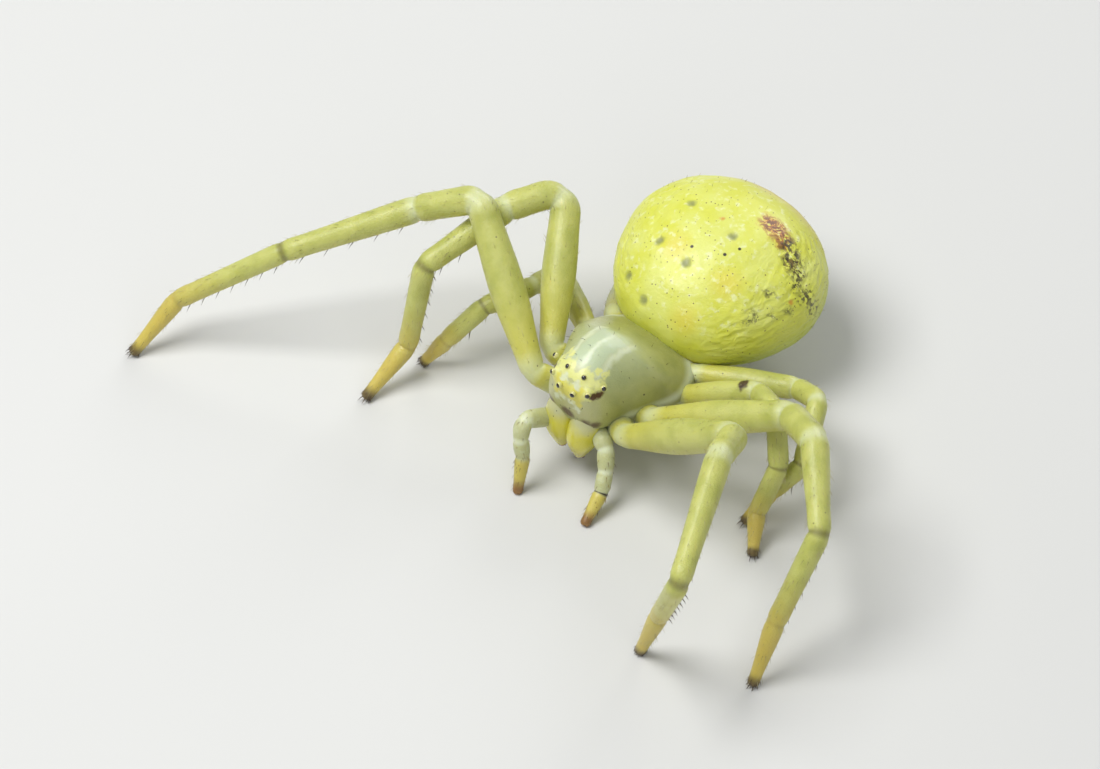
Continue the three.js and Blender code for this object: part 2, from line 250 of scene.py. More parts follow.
class Graph:
    """The node tree of one material."""

    def __init__(self, name: str) -> None:
        """Starts an empty node material.

        Args:
            name: The material's name.
        """
        self.material = bpy.data.materials.new(name)
        self.material.use_nodes = True
        self.tree = self.material.node_tree
        self.tree.nodes.clear()

    def feed(self, socket: bpy.types.NodeSocket, value: object) -> None:
        """Sets an input socket, or links it when it is given a Value or an output socket.

        Args:
            socket: The input socket.
            value: The number, colour, Value or output socket.
        """
        value = value.socket if isinstance(value, Value) else value
        if isinstance(value, bpy.types.NodeSocket):
            self.tree.links.new(value, socket)
        elif isinstance(value, tuple) and socket.type == "RGBA":
            socket.default_value = (*value, 1.0)
        else:
            socket.default_value = value

    def node(
        self,
        kind: str,
        settings: Mapping[str, object] | None = None,
        inputs: Mapping[str | int, object] | None = None,
    ) -> bpy.types.Node:
        """Adds a node.

        Args:
            kind: The node's type name.
            settings: Properties of the node, which are set first.
            inputs: What each input socket gets, by name or number.

        Returns:
            The new node.
        """
        made = self.tree.nodes.new(kind)
        for key, value in (settings or {}).items():
            setattr(made, key, value)
        for key, value in (inputs or {}).items():
            self.feed(made.inputs[key], value)
        return made

    def maths(self, operation: str, *numbers: "Value | float") -> Value:
        """Adds a Math node and gives its result."""
        made = self.node("ShaderNodeMath", {"operation": operation}, dict(enumerate(numbers)))
        return Value(self, made.outputs[0])

    def vector(self, operation: str, *vectors: object) -> bpy.types.Node:
        """Adds a Vector Math node."""
        return self.node("ShaderNodeVectorMath", {"operation": operation}, dict(enumerate(vectors)))

    def scaled(self, vector: bpy.types.NodeSocket, factor: float) -> bpy.types.NodeSocket:
        """Makes a vector longer or shorter."""
        inputs = {0: vector, "Scale": factor}
        return self.node("ShaderNodeVectorMath", {"operation": "SCALE"}, inputs).outputs[0]

    def blend(self, mask: "Value | float", under: object, over: object) -> bpy.types.NodeSocket:
        """Lays one colour over another.

        Args:
            mask: Where the upper colour shows, from 0 to 1.
            under: The lower colour, a socket or three numbers.
            over: The upper colour, a socket or three numbers.

        Returns:
            The mixed colour's socket.
        """
        settings = {"data_type": "RGBA", "clamp_factor": True}
        return self.node("ShaderNodeMix", settings, {0: mask, 6: under, 7: over}).outputs[2]

    def place(self) -> bpy.types.NodeSocket:
        """Gives the surface point in millimetres."""
        point = self.node("ShaderNodeTexCoord").outputs["Object"]
        return self.scaled(point, 1 / METRES)

    def body(self) -> bpy.types.NodeSocket:
        """Gives the surface point in the trunk's frame, which the skin stores."""
        return self.node("ShaderNodeAttribute", {"attribute_name": "trunk"}).outputs["Vector"]

    def measure(self, name: str) -> Value:
        """Gives a number that the skin stores under a name."""
        stored = self.node("ShaderNodeAttribute", {"attribute_name": name})
        return Value(self, stored.outputs["Fac"])

    def axes(self, vector: bpy.types.NodeSocket) -> tuple[Value, ...]:
        """Splits a vector into its three numbers."""
        parts = self.node("ShaderNodeSeparateXYZ", inputs={0: vector})
        return tuple(Value(self, output) for output in parts.outputs)

    def cloud(self, vector: object, scale: float, detail: float = 2.0, rough: float = 0.5) -> Value:
        """Gives a soft noise from 0 to 1.

        Args:
            vector: Where it is read.
            scale: How many of its lumps fit in a millimetre.
            detail: How many finer layers it has.
            rough: How strong the finer layers are.

        Returns:
            The noise.
        """
        inputs = {"Vector": vector, "Scale": scale, "Detail": detail, "Roughness": rough}
        return Value(self, self.node("ShaderNodeTexNoise", inputs=inputs).outputs[0])

    def shaken(self, vector: object, scale: float, amount: float) -> bpy.types.NodeSocket:
        """Moves the points where a pattern is read by a noise, so that its edges wander.

        Args:
            vector: The points.
            scale: How many of the noise's lumps fit in a millimetre.
            amount: How far the noise moves a point.

        Returns:
            The moved points.
        """
        inputs = {"Vector": vector, "Scale": scale, "Detail": 2.0}
        wobble = self.node("ShaderNodeTexNoise", inputs=inputs)
        centred = self.vector("SUBTRACT", wobble.outputs["Color"], (0.5, 0.5, 0.5))
        moved = self.scaled(centred.outputs[0], amount)
        return self.vector("ADD", vector, moved).outputs[0]

    def dots(self, vector: object, speckle: Speckle) -> Value:
        """Scatters small round dots.

        Args:
            vector: Where the pattern is read.
            speckle: The dots.

        Returns:
            A mask that has the speckle's strength on the dots.
        """
        inputs = {"Vector": vector, "Scale": speckle.scale}
        cells = self.node("ShaderNodeTexVoronoi", inputs=inputs)
        draw, _, _ = self.axes(cells.outputs["Color"])
        inside = Value(self, cells.outputs["Distance"]).rise(speckle.size, speckle.size * 0.55)
        return inside * draw.rise(speckle.share, speckle.share - 0.02) * speckle.strength

    def spot(self, vector: object, centre: Point, radius: float, soft: float = 0.5) -> Value:
        """Gives a mask that is 1 around a point.

        Args:
            vector: Where it is read.
            centre: The point.
            radius: Where the mask has faded to nothing.
            soft: The share of the radius over which it fades.

        Returns:
            The mask.
        """
        away = Value(self, self.vector("DISTANCE", vector, centre).outputs["Value"])
        return away.rise(radius, radius * (1 - soft))

    def trail(self, vector: object, mark: Mark) -> Value:
        """Gives a mark's mask where a vector lies, at full strength."""
        spots = (self.spot(vector, point, mark.radius, mark.soft) for point in mark.points)
        return reduce(or_, spots)

    def stamp(
        self, vector: object, mark: Mark, under: object, over: object
    ) -> bpy.types.NodeSocket:
        """Lays a mark's colour over another, at the mark's strength."""
        return self.blend(self.trail(vector, mark) * mark.strength, under, over)


@dataclass(frozen=True)
class Eye:
    """One eye of a mirrored pair: its place in the trunk's frame, its size and where it looks."""

    name: str
    at: Point
    radius: float
    mound: float
    look: Point


EYES = (
    Eye("front_middle", (0.21, -1.92, 1.01), 0.08, 0.05, (0.25, -1.0, 0.35)),
    Eye("front_side", (0.54, -1.76, 1.09), 0.08, 0.12, (0.6, -0.8, 0.4)),
    Eye("rear_middle", (0.25, -1.53, 1.3), 0.075, 0.01, (0.3, -0.5, 0.85)),
    Eye("rear_side", (0.75, -1.42, 1.18), 0.075, 0.13, (0.7, -0.4, 0.65)),
)


@dataclass(frozen=True)
class Finish:
    """A skin's finish. Each kind of skin paints its own colours and relief over these settings."""

    name: str = "skin"
    roughness: float = 0.38
    coat: float = 0.25
    coat_roughness: float = 0.22
    glow: float = 0.25
    glow_depth: float = 0.35
    glow_reach: Colour = (1.0, 0.85, 0.3)
    relief_depth: float = 0.02
    grain_scale: float = 22.0
    gloss_scale: float = 9.0
    gloss_range: float = 0.2

    def colour(self, graph: Graph) -> object:
        """Paints the surface, in each kind of skin's own way."""
        raise NotImplementedError

    def relief(self, graph: Graph) -> Value:
        """Gives the height of the fine relief, from 0 to 1."""
        return graph.cloud(graph.place(), self.grain_scale, 4.0, 0.6)

    def gloss(self, graph: Graph) -> "Value | float":
        """Gives the roughness."""
        wander = graph.cloud(graph.place(), self.gloss_scale) - 0.5
        return self.roughness + wander * self.gloss_range

    def material(self) -> bpy.types.Material:
        """Builds the material.

        Returns:
            A material whose colour, roughness and normal vary over the surface.
        """
        graph = Graph(self.name)
        depth = self.relief_depth * METRES
        inputs = {"Height": self.relief(graph), "Distance": depth, "Strength": 1.0}
        bump = graph.node("ShaderNodeBump", inputs=inputs)
        shader = graph.node(
            "ShaderNodeBsdfPrincipled",
            {"subsurface_method": "RANDOM_WALK"},
            {
                "Base Color": self.colour(graph),
                "Roughness": self.gloss(graph),
                "Normal": bump.outputs[0],
                "Coat Weight": self.coat,
                "Coat Roughness": self.coat_roughness,
                "Subsurface Weight": self.glow,
                "Subsurface Radius": self.glow_reach,
                "Subsurface Scale": self.glow_depth * METRES,
            },
        )
        graph.node("ShaderNodeOutputMaterial", inputs={0: shader.outputs[0]})
        return graph.material


@dataclass(frozen=True)
class ShieldFinish(Finish):
    """The carapace: grey-green shell, a pale wedge behind the eyes and yellow marks round them."""

    name: str = "carapace_shell"
    roughness: float = 0.34
    relief_depth: float = 0.012
    flank: Colour = (0.42, 0.43, 0.15)
    flank_deep: Colour = (0.33, 0.35, 0.11)
    wedge: Colour = (0.5, 0.58, 0.37)
    white: Colour = (0.72, 0.77, 0.56)
    yellow: Colour = (0.72, 0.66, 0.09)
    lemon: Colour = (0.74, 0.75, 0.27)
    face: Colour = (0.56, 0.55, 0.26)
    maroon: Colour = (0.07, 0.018, 0.008)
    black: Colour = (0.015, 0.012, 0.01)
    wedge_half_width: float = 0.42
    wedge_front: float = -1.5
    wedge_rear: float = 0.05
    wedge_height: float = 0.9
    line_height: float = 0.8
    border_width: float = 0.12
    streak_width: float = 0.09
    rim_height: float = -0.14
    rim_width: float = 0.2
    rim_sag: float = 0.34
    specks: Speckle = Speckle(3.4, 0.13, 0.3, 0.8)
    head_specks: Speckle = Speckle(9.0, 0.12, 0.22, 0.8)
    hump_mark: Mark = Mark(((0.15, 0.25, 1.35),), 0.75, 0.8, 0.75)
    eye_marks: Mark = Mark(tuple(eye.at for eye in EYES), 0.28, 0.35, 0.9)
    arm_marks: Mark = Mark(
        ((0.42, -1.2, 1.38), (0.6, -1.1, 1.25), (0.1, -1.6, 1.25), (0.5, -1.5, 1.3)), 0.14, 0.4, 0.9
    )
    face_marks: Mark = Mark(
        ((0.0, -1.9, 0.92), (0.28, -1.93, 0.78), (0.3, -1.88, 1.06)), 0.26, 0.5, 0.85
    )
    pale_marks: Mark = Mark(
        ((0.12, -1.96, 0.62), (0.3, -1.95, 0.5), (0.22, -1.78, 1.2)), 0.15, 0.6, 0.8
    )
    brow_marks: Mark = Mark(
        ((0.62, -1.66, 0.98), (0.7, -1.55, 0.97), (0.77, -1.47, 1.0)), 0.14, 0.5
    )
    hem_marks: Mark = Mark(
        ((0.04, -1.93, 0.1), (0.5, -1.82, 0.06), (0.66, -1.74, 0.02)), 0.22, 0.6, 0.9
    )

    def colour(self, graph: Graph) -> object:
        """Paints the shell from the flanks up to the marks of the head.

        Args:
            graph: The material's graph.

        Returns:
            The colour's socket.
        """
        body = graph.body()
        x, y, z = graph.axes(body)
        wide = abs(x)
        mottle = graph.cloud(body, 2.2, 3.0)
        tone = graph.blend(mottle.rise(0.3, 0.75), self.flank, self.flank_deep)
        tone = graph.blend(z.rise(0.1, 1.25) * 0.45, tone, self.wedge)
        wander = graph.axes(graph.shaken(body, 3.0, 0.22))
        pane = self.wedge_mask(abs(wander[0]), wander[1], z)
        tone = graph.blend(pane, tone, self.wedge)
        lines = self.line_mask(abs(wander[0]), wander[1], z)
        tone = graph.blend(lines * 0.7, tone, self.white)
        tone = graph.stamp(graph.shaken(body, 2.5, 0.3), self.hump_mark, tone, self.white)
        tone = graph.blend(y.rise(1.0, 1.55) * 0.5, tone, self.lemon)
        level = z + y.rise(-0.7, 1.5) * self.rim_sag
        rim = level.near(self.rim_height, self.rim_width) * wide.rise(0.85, 1.1)
        tone = graph.blend(rim * 0.95, tone, self.white)
        tone = self.paint_head(graph, tone, body)
        specks = graph.dots(body, self.specks) * z.rise(-0.1, 0.3)
        return graph.blend(specks, tone, self.black)

    @staticmethod
    def above(z: Value, height: float) -> Value:
        """Gives a mask of what lies above a height, with a soft edge."""
        return z.rise(height, height + 0.2)

    def wedge_mask(self, wide: Value, y: Value, z: Value) -> Value:
        """Gives the mask of the pale pane behind the eyes.

        Args:
            wide: The distance from the middle plane.
            y: The place along the trunk.
            z: The height.

        Returns:
            The mask.
        """
        inside = wide.rise(self.wedge_half_width, self.wedge_half_width - 0.1)
        inside = inside * y.rise(self.wedge_front, self.wedge_front + 0.2)
        return inside * self.above(z, self.wedge_height)

    def line_mask(self, wide: Value, y: Value, z: Value) -> Value:
        """Gives the mask of the wedge's white borders and the streak down its middle.

        Args:
            wide: The distance from the middle plane.
            y: The place along the trunk.
            z: The height.

        Returns:
            The mask.
        """
        length = y.rise(self.wedge_front, self.wedge_front + 0.25) * y.rise(0.75, 0.2)
        border = wide.near(self.wedge_half_width + 0.03, self.border_width)
        streak = wide.near(0.0, self.streak_width) * y.rise(self.wedge_rear, self.wedge_rear - 0.3)
        return (border | streak) * length * self.above(z, self.line_height)

    def paint_head(self, graph: Graph, tone: object, body: bpy.types.NodeSocket) -> object:
        """Paints the face and the marks round the eyes.

        Args:
            graph: The material's graph.
            tone: The colour so far.
            body: The point in the trunk's frame.

        Returns:
            The colour with the marks laid over it.
        """
        x, y, z = graph.axes(body)
        wide = abs(x)
        mirrored = graph.node("ShaderNodeCombineXYZ", inputs={0: wide, 1: y, 2: z}).outputs[0]
        branching = graph.shaken(mirrored, 7.0, 0.3)
        head = y.rise(-1.15, -1.6) * wide.rise(0.95, 0.7)
        tone = graph.blend(head * z.rise(-0.1, 0.35) * 0.55, tone, self.face)
        tone = graph.stamp(branching, self.eye_marks, tone, self.lemon)
        tone = graph.stamp(branching, self.arm_marks, tone, self.lemon)
        tone = graph.stamp(branching, self.face_marks, tone, self.yellow)
        tone = graph.stamp(branching, self.pale_marks, tone, self.white)
        sharp = graph.shaken(mirrored, 9.0, 0.08)
        tone = graph.stamp(sharp, self.brow_marks, tone, self.maroon)
        tone = graph.stamp(sharp, self.hem_marks, tone, self.maroon)
        return graph.blend(graph.dots(mirrored, self.head_specks) * head, tone, self.black)


@dataclass(frozen=True)
class AbdomenFinish(Finish):
    """The abdomen: lemon skin with grey muscle spots, fine dark dots and a rust-brown patch."""

    name: str = "abdomen_skin"
    roughness: float = 0.42
    coat: float = 0.2
    coat_roughness: float = 0.3
    glow: float = 0.3
    glow_depth: float = 0.3
    relief_depth: float = 0.03
    lemon: Colour = (0.64, 0.66, 0.07)
    pale: Colour = (0.68, 0.71, 0.17)
    green: Colour = (0.38, 0.45, 0.05)
    warm: Colour = (0.68, 0.58, 0.05)
    white: Colour = (0.76, 0.79, 0.4)
    grey: Colour = (0.2, 0.22, 0.1)
    orange: Colour = (0.6, 0.2, 0.015)
    brown: Colour = (0.09, 0.028, 0.01)
    black: Colour = (0.03, 0.022, 0.012)
    specks: Speckle = Speckle(8.0, 0.18, 0.6, 0.85)
    row_specks: Speckle = Speckle(9.0, 0.2, 0.4, 0.8)
    muscle_spots: Mark = Mark(
        (
            (-1.21, 1.63, 0.55),
            (-0.47, 1.33, 0.55),
            (-1.01, 2.62, 1.12),
            (-0.06, 2.49, 1.21),
            (-1.11, 3.9, 1.17),
            (0.37, 3.74, 1.3),
        ),
        0.17,
        0.7,
        0.8,
    )
    black_dots: Mark = Mark(((-0.21, 2.89, 1.29), (0.56, 3.2, 1.3), (0.72, 3.55, 1.25)), 0.055, 0.4)
    orange_dots: Mark = Mark(((-0.17, 3.95, 1.29), (2.31, 3.53, 0.5)), 0.1, 0.8, 0.7)
    warm_spots: Mark = Mark(
        ((-0.56, 2.7, 1.23), (1.05, 2.68, 1.12), (0.71, 1.5, 0.61)), 0.6, 1.0, 0.7
    )
    rust: tuple[Point, ...] = ((0.7, 4.66, 1.06), (0.91, 4.66, 1.01), (1.14, 4.56, 1.0))
    scorch: tuple[Point, ...] = (
        (1.34, 4.52, 0.93),
        (1.58, 4.4, 0.88),
        (1.76, 4.28, 0.82),
        (1.96, 4.2, 0.73),
    )
    soot: tuple[Point, ...] = ((2.14, 3.96, 0.65), (2.44, 3.92, 0.33), (2.58, 4.0, 0.0))
    smudges: Mark = Mark(
        (
            (1.86, 2.43, 0.63),
            (1.96, 2.6, 0.62),
            (2.22, 2.94, 0.47),
            (2.36, 3.32, 0.4),
            (1.9, 3.27, 0.84),
        ),
        0.2,
        0.8,
    )

    def colour(self, graph: Graph) -> object:
        """Paints the skin, then its spots, then the dark patch.

        Args:
            graph: The material's graph.

        Returns:
            The colour's socket.
        """
        body = graph.body()
        _, y, z = graph.axes(body)
        soft = graph.cloud(body, 1.1, 3.0)
        tone = graph.blend(soft.rise(0.35, 0.7), self.lemon, self.pale)
        under = z.rise(0.3, -1.1) + graph.cloud(body, 0.8) * 0.25 - 0.12
        tone = graph.blend(under.rise(0.0, 1.0) * 0.8, tone, self.green)
        tone = graph.stamp(body, self.warm_spots, tone, self.warm)
        fleck = graph.cloud(graph.shaken(body, 4.0, 0.2), 6.0, 3.0).rise(0.53, 0.72)
        tone = graph.blend(fleck * z.rise(0.1, 0.8) * 0.75, tone, self.white)
        tone = graph.blend(y.rise(1.45, 1.1) * z.rise(-0.2, -0.8) * 0.7, tone, self.orange)
        tone = graph.blend(y.rise(5.2, 5.8) * z.near(0.1, 0.8) * soft * 0.6, tone, self.orange)
        tone = self.paint_spots(graph, tone, body)
        return self.paint_patch(graph, tone, body)

    def paint_spots(self, graph: Graph, tone: object, body: bpy.types.NodeSocket) -> object:
        """Lays the muscle spots and the dots over the skin.

        Args:
            graph: The material's graph.
            tone: The colour so far.
            body: The point in the trunk's frame.

        Returns:
            The colour with the marks laid over it.
        """
        wavy = graph.shaken(body, 5.0, 0.12)
        tone = graph.stamp(wavy, self.muscle_spots, tone, self.grey)
        tone = graph.stamp(wavy, self.orange_dots, tone, self.orange)
        fine = graph.dots(body, self.specks) * graph.cloud(body, 0.9).rise(0.35, 0.55)
        tone = graph.blend(fine, tone, self.brown)
        return graph.stamp(body, self.black_dots, tone, self.black)

    def paint_patch(self, graph: Graph, tone: object, body: bpy.types.NodeSocket) -> object:
        """Lays the rust-brown patch and the dark dot rows of the folds over the skin.

        Args:
            graph: The material's graph.
            tone: The colour so far.
            body: The point in the trunk's frame.

        Returns:
            The colour with the marks laid over it.
        """
        x, y, z = graph.axes(body)
        torn = graph.shaken(body, 3.5, 0.5)
        crumbs = graph.cloud(torn, 7.0, 4.0, 0.7)
        rust = graph.trail(torn, Mark(self.rust, 0.42, 0.8))
        tone = graph.blend(rust * crumbs.rise(0.37, 0.5), tone, self.orange)
        burnt = Mark((*self.rust, *self.scorch), 0.4, 0.8)
        dark = graph.trail(torn, burnt) * crumbs.rise(0.45, 0.55)
        tone = graph.blend(dark * 0.85, tone, self.brown)
        soiled = Mark((*self.scorch, *self.soot), 0.36, 0.8)
        sooty = graph.trail(torn, soiled) * graph.cloud(body, 9.0, 3.0).rise(0.48, 0.56)
        tone = graph.blend(sooty * 0.9, tone, self.black)
        smudge = graph.trail(torn, self.smudges) * crumbs.rise(0.44, 0.54)
        tone = graph.blend(smudge * 0.8, tone, self.black)
        rows = graph.vector("MULTIPLY", body, (1.0, 0.45, 1.0)).outputs[0]
        folds = graph.dots(rows, self.row_specks)
        flank = x.rise(1.3, 1.8) * z.near(0.45, 0.5) * y.rise(1.7, 2.3)
        return graph.blend(folds * flank, tone, self.brown)

    def relief(self, graph: Graph) -> Value:
        """Gives the fine grain, and folds that run along the flanks and round the rear.

        Args:
            graph: The material's graph.

        Returns:
            The height, from 0 to about 2.
        """
        body = graph.body()
        x, _, _ = graph.axes(body)
        grain = graph.cloud(body, 14.0, 4.0, 0.6)
        wavy = graph.shaken(body, 1.5, 0.5)
        stretched = graph.vector("MULTIPLY", wavy, (2.2, 1.0, 5.5)).outputs[0]
        folds = graph.cloud(stretched, 1.6, 2.0) * (0.35 + abs(x).rise(0.8, 2.0))
        return grain * 0.35 + folds * 1.4


@dataclass(frozen=True)
class LegFinish(Finish):
    """A leg: translucent yellow-green, pale at the joints and orange-yellow towards the foot."""

    name: str = "leg_skin"
    roughness: float = 0.36
    glow: float = 0.45
    glow_depth: float = 0.45
    body: Colour = (0.53, 0.545, 0.15)
    deep: Colour = (0.43, 0.455, 0.1)
    yellow: Colour = (0.62, 0.56, 0.06)
    membrane: Colour = (0.62, 0.66, 0.38)
    foot: Colour = (0.58, 0.47, 0.09)
    dark: Colour = (0.06, 0.03, 0.012)
    joint_bands: tuple[tuple[float, float], ...] = ((2.02, 0.12), (3.0, 0.1), (1.0, 0.14))
    ring_bands: tuple[tuple[float, float], ...] = ((4.0, 0.04), (5.0, 0.05))
    specks: Speckle = Speckle(5.5, 0.14, 0.3, 0.7)
    blush: float = 0.5
    blot: Point | None = None
    blot_radius: float = 0.2

    def colour(self, graph: Graph) -> object:
        """Paints the lengths of the leg, its joints and its small dark dots.

        Args:
            graph: The material's graph.

        Returns:
            The colour's socket.
        """
        at = graph.place()
        along = graph.measure("along")
        under = graph.measure("under")
        mottle = graph.cloud(at, 2.0, 3.0)
        tone = graph.blend(mottle.rise(0.35, 0.7), self.body, self.deep)
        shade = (under * 0.6 + mottle * 0.5).rise(0.1, 0.75)
        tone = graph.blend(shade * self.blush, tone, self.yellow)
        tone = graph.blend(along.rise(1.6, 1.05) * self.blush, tone, self.yellow)
        joints = along.near_any(self.joint_bands)
        tone = graph.blend((joints | along.rise(0.9, 0.6)) * 0.75, tone, self.membrane)
        tone = graph.blend(along.near_any(self.ring_bands) * 0.5, tone, self.dark)
        tone = graph.blend((along + mottle * 0.6).rise(4.6, 5.7), tone, self.foot)
        dots = graph.dots(at, self.specks) * along.rise(4.4, 4.0)
        tone = graph.blend(dots, tone, self.dark)
        if self.blot:
            ragged = graph.shaken(at, 6.0, 0.2)
            tone = graph.blend(graph.spot(ragged, self.blot, self.blot_radius), tone, self.dark)
        return graph.blend((along + mottle * 0.1).rise(5.86, 6.05) * 0.85, tone, self.dark)


@dataclass(frozen=True)
class PalpFinish(Finish):
    """A palp: pale and translucent, with a yellow last length and a brown tip."""

    name: str = "palp_skin"
    glow: float = 0.45
    glow_depth: float = 0.35
    body: Colour = (0.5, 0.52, 0.26)
    membrane: Colour = (0.66, 0.7, 0.48)
    yellow: Colour = (0.58, 0.5, 0.1)
    brown: Colour = (0.26, 0.13, 0.03)
    black: Colour = (0.02, 0.014, 0.01)
    joint_bands: tuple[tuple[float, float], ...] = ((2.0, 0.22), (3.0, 0.2))
    specks: Speckle = Speckle(8.0, 0.16, 0.3, 0.8)
    ringed: bool = False

    def colour(self, graph: Graph) -> object:
        """Paints the palp from its root to its tip.

        Args:
            graph: The material's graph.

        Returns:
            The colour's socket.
        """
        at = graph.place()
        along = graph.measure("along")
        mottle = graph.cloud(at, 4.0, 3.0)
        joints = along.near_any(self.joint_bands)
        tone = graph.blend(joints | mottle.rise(0.45, 0.7) * 0.5, self.body, self.membrane)
        tone = graph.blend(along.rise(3.95, 4.15), tone, self.yellow)
        tone = graph.blend((along + mottle * 0.3).rise(4.7, 5.1), tone, self.brown)
        if self.ringed:
            ring = along.near(4.0, 0.1) * mottle.rise(0.3, 0.5)
            tone = graph.blend(ring, tone, self.black)
        specks = graph.dots(at, self.specks) * along.rise(2.8, 3.2)
        return graph.blend(specks, tone, self.brown)


@dataclass(frozen=True)
class JawFinish(Finish):
    """A jaw: pale glossy base, yellow below and red-brown at the tip."""

    name: str = "jaw_shell"
    roughness: float = 0.22
    coat: float = 0.6
    coat_roughness: float = 0.12
    glow: float = 0.25
    relief_depth: float = 0.01
    pale: Colour = (0.5, 0.5, 0.26)
    yellow: Colour = (0.66, 0.61, 0.045)
    red: Colour = (0.26, 0.055, 0.015)
    black: Colour = (0.02, 0.012, 0.01)
    specks: Speckle = Speckle(9.0, 0.16, 0.35, 0.85)

    def colour(self, graph: Graph) -> object:
        """Paints the jaw from the hem of the face down to its tip.

        Args:
            graph: The material's graph.

        Returns:
            The colour's socket.
        """
        body = graph.body()
        _, _, z = graph.axes(graph.shaken(body, 4.0, 0.2))
        tone = graph.blend(z.rise(0.0, -0.42), self.pale, self.yellow)
        tone = graph.blend(z.rise(-1.28, -1.45), tone, self.red)
        return graph.blend(graph.dots(body, self.specks), tone, self.black)


@dataclass(frozen=True)
class EyeFinish(Finish):
    """An eye: a polished bead with a near-black pupil in a pale ring."""

    name: str = "eye_bead"
    roughness: float = 0.08
    coat: float = 1.0
    coat_roughness: float = 0.03
    glow: float = 0.0
    relief_depth: float = 0.001
    black: Colour = (0.008, 0.006, 0.005)
    brown: Colour = (0.12, 0.06, 0.015)
    ring: Colour = (0.62, 0.6, 0.2)
    pupil: float = 0.7

    def colour(self, graph: Graph) -> object:
        """Paints a black pupil with a thin brown edge in a pale ring.

        Args:
            graph: The material's graph.

        Returns:
            The colour's socket.
        """
        facing = graph.measure("facing")
        tone = graph.blend(facing.rise(self.pupil - 0.1, self.pupil), self.ring, self.brown)
        return graph.blend(facing.rise(self.pupil - 0.03, self.pupil + 0.04), tone, self.black)

    def gloss(self, graph: Graph) -> "Value | float":
        """Gives an almost even polish."""
        return self.roughness + graph.cloud(graph.place(), 20.0) * 0.04


@dataclass(frozen=True)
class BristleFinish(Finish):
    """Bristles, fangs and claws, in two tones that vary from place to place."""

    name: str = "bristle_dark"
    roughness: float = 0.4
    glow: float = 0.0
    relief_depth: float = 0.001
    root: Colour = (0.05, 0.03, 0.015)
    shaft: Colour = (0.1, 0.06, 0.025)

    def colour(self, graph: Graph) -> object:
        """Varies the tone from bristle to bristle."""
        return graph.blend(graph.cloud(graph.place(), 3.0).rise(0.35, 0.65), self.root, self.shaft)


class Piece:
    """Turns a bmesh in millimetres into a finished object of the scene."""

    @staticmethod
    def finish(
        bm: bmesh.types.BMesh,
        name: str,
        material: bpy.types.Material,
        slot: Slot,
        replaced: Sequence[str] = (),
    ) -> None:
        """Finishes a mesh and adds it to the model.

        Args:
            bm: The mesh, in millimetres, which is freed.
            name: The object's name.
            material: Its material.
            slot: The record's slot, which is not used.
            replaced: The solids that it stands for.
        """
        bmesh.ops.recalc_face_normals(bm, faces=bm.faces)
        bmesh.ops.transform(bm, matrix=Matrix.Scale(METRES, 4), verts=bm.verts)
        for face in bm.faces:
            face.smooth = True
        mesh = bpy.data.meshes.new(name)
        bm.to_mesh(mesh)
        bm.free()
        mesh.materials.append(material)
        piece = bpy.data.objects.new(name, mesh)
        bpy.context.scene.collection.objects.link(piece)
        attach(piece, "root")
        if replaced:
            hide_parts(*replaced)
        LOG.info("%s: %d faces", name, len(mesh.polygons))


@dataclass(frozen=True)
class Bristle:
    """One bristle: its root, the way it points, its size and its place on the skin's unwrap."""

    root: Vector
    direction: Vector
    length: float
    radius: float
    unwrap: tuple[float, float]


class Bristles:
    """A mesh of many tapered, slightly curved bristles."""

    PATCH = 0.0015
    SIDES = 4
    TAPER = 0.7
    TIP = 0.25
    DROOP = Vector((0.0, 0.0, -0.3))

    def __init__(self) -> None:
        """Starts an empty mesh with its bake map."""
        self.bm = bmesh.new()
        self.map = self.bm.loops.layers.uv.new("OFBake")

    def add(self, bristle: Bristle) -> None:
        """Adds one bristle: a cone whose tip is drawn out and bent.

        Args:
            bristle: Its place and size.
        """
        first = len(self.bm.faces)
        half = bristle.length / 2
        middle = bristle.root + bristle.direction * half / 2
        cone = bmesh.ops.create_cone(
            self.bm,
            cap_ends=True,
            segments=self.SIDES,
            radius1=bristle.radius,
            radius2=bristle.radius * self.TAPER,
            depth=half,
            matrix=Matrix.Translation(middle) @ pointed(bristle.direction),
        )
        top = bristle.root + bristle.direction * half
        ring = sorted(cone["verts"], key=lambda vert: (vert.co - top).length)[: self.SIDES]
        caps = [face for face in ring[0].link_faces if all(vert in ring for vert in face.verts)]
        drawn = bmesh.ops.extrude_discrete_faces(self.bm, faces=caps)
        tip = drawn["faces"][0]
        centre = tip.calc_center_median()
        space = Matrix.Translation(-centre)
        bmesh.ops.scale(self.bm, vec=(self.TIP,) * 3, space=space, verts=tip.verts)
        bend = (bristle.direction + self.DROOP).normalized() * half
        bmesh.ops.translate(self.bm, vec=bend, verts=tip.verts)
        self.bm.faces.ensure_lookup_table()
        for face in self.bm.faces[first:]:
            for corner, loop in enumerate(face.loops):
                angle = corner * math.tau / len(face.loops)
                loop[self.map].uv = (
                    bristle.unwrap[0] + self.PATCH * math.cos(angle),
                    bristle.unwrap[1] + self.PATCH * math.sin(angle),
                )

    def finish(self, name: str, material: bpy.types.Material, slot: Slot) -> None:
        """Keeps every bristle off the floor and finishes the mesh.

        Args:
            name: The piece's name.
            material: Its material.
            slot: The record's slot, which is handed on to Piece.finish.
        """
        for vert in self.bm.verts:
            vert.co.z = max(vert.co.z, BRISTLE_CLEARANCE)
        Piece.finish(self.bm, name, material, slot)


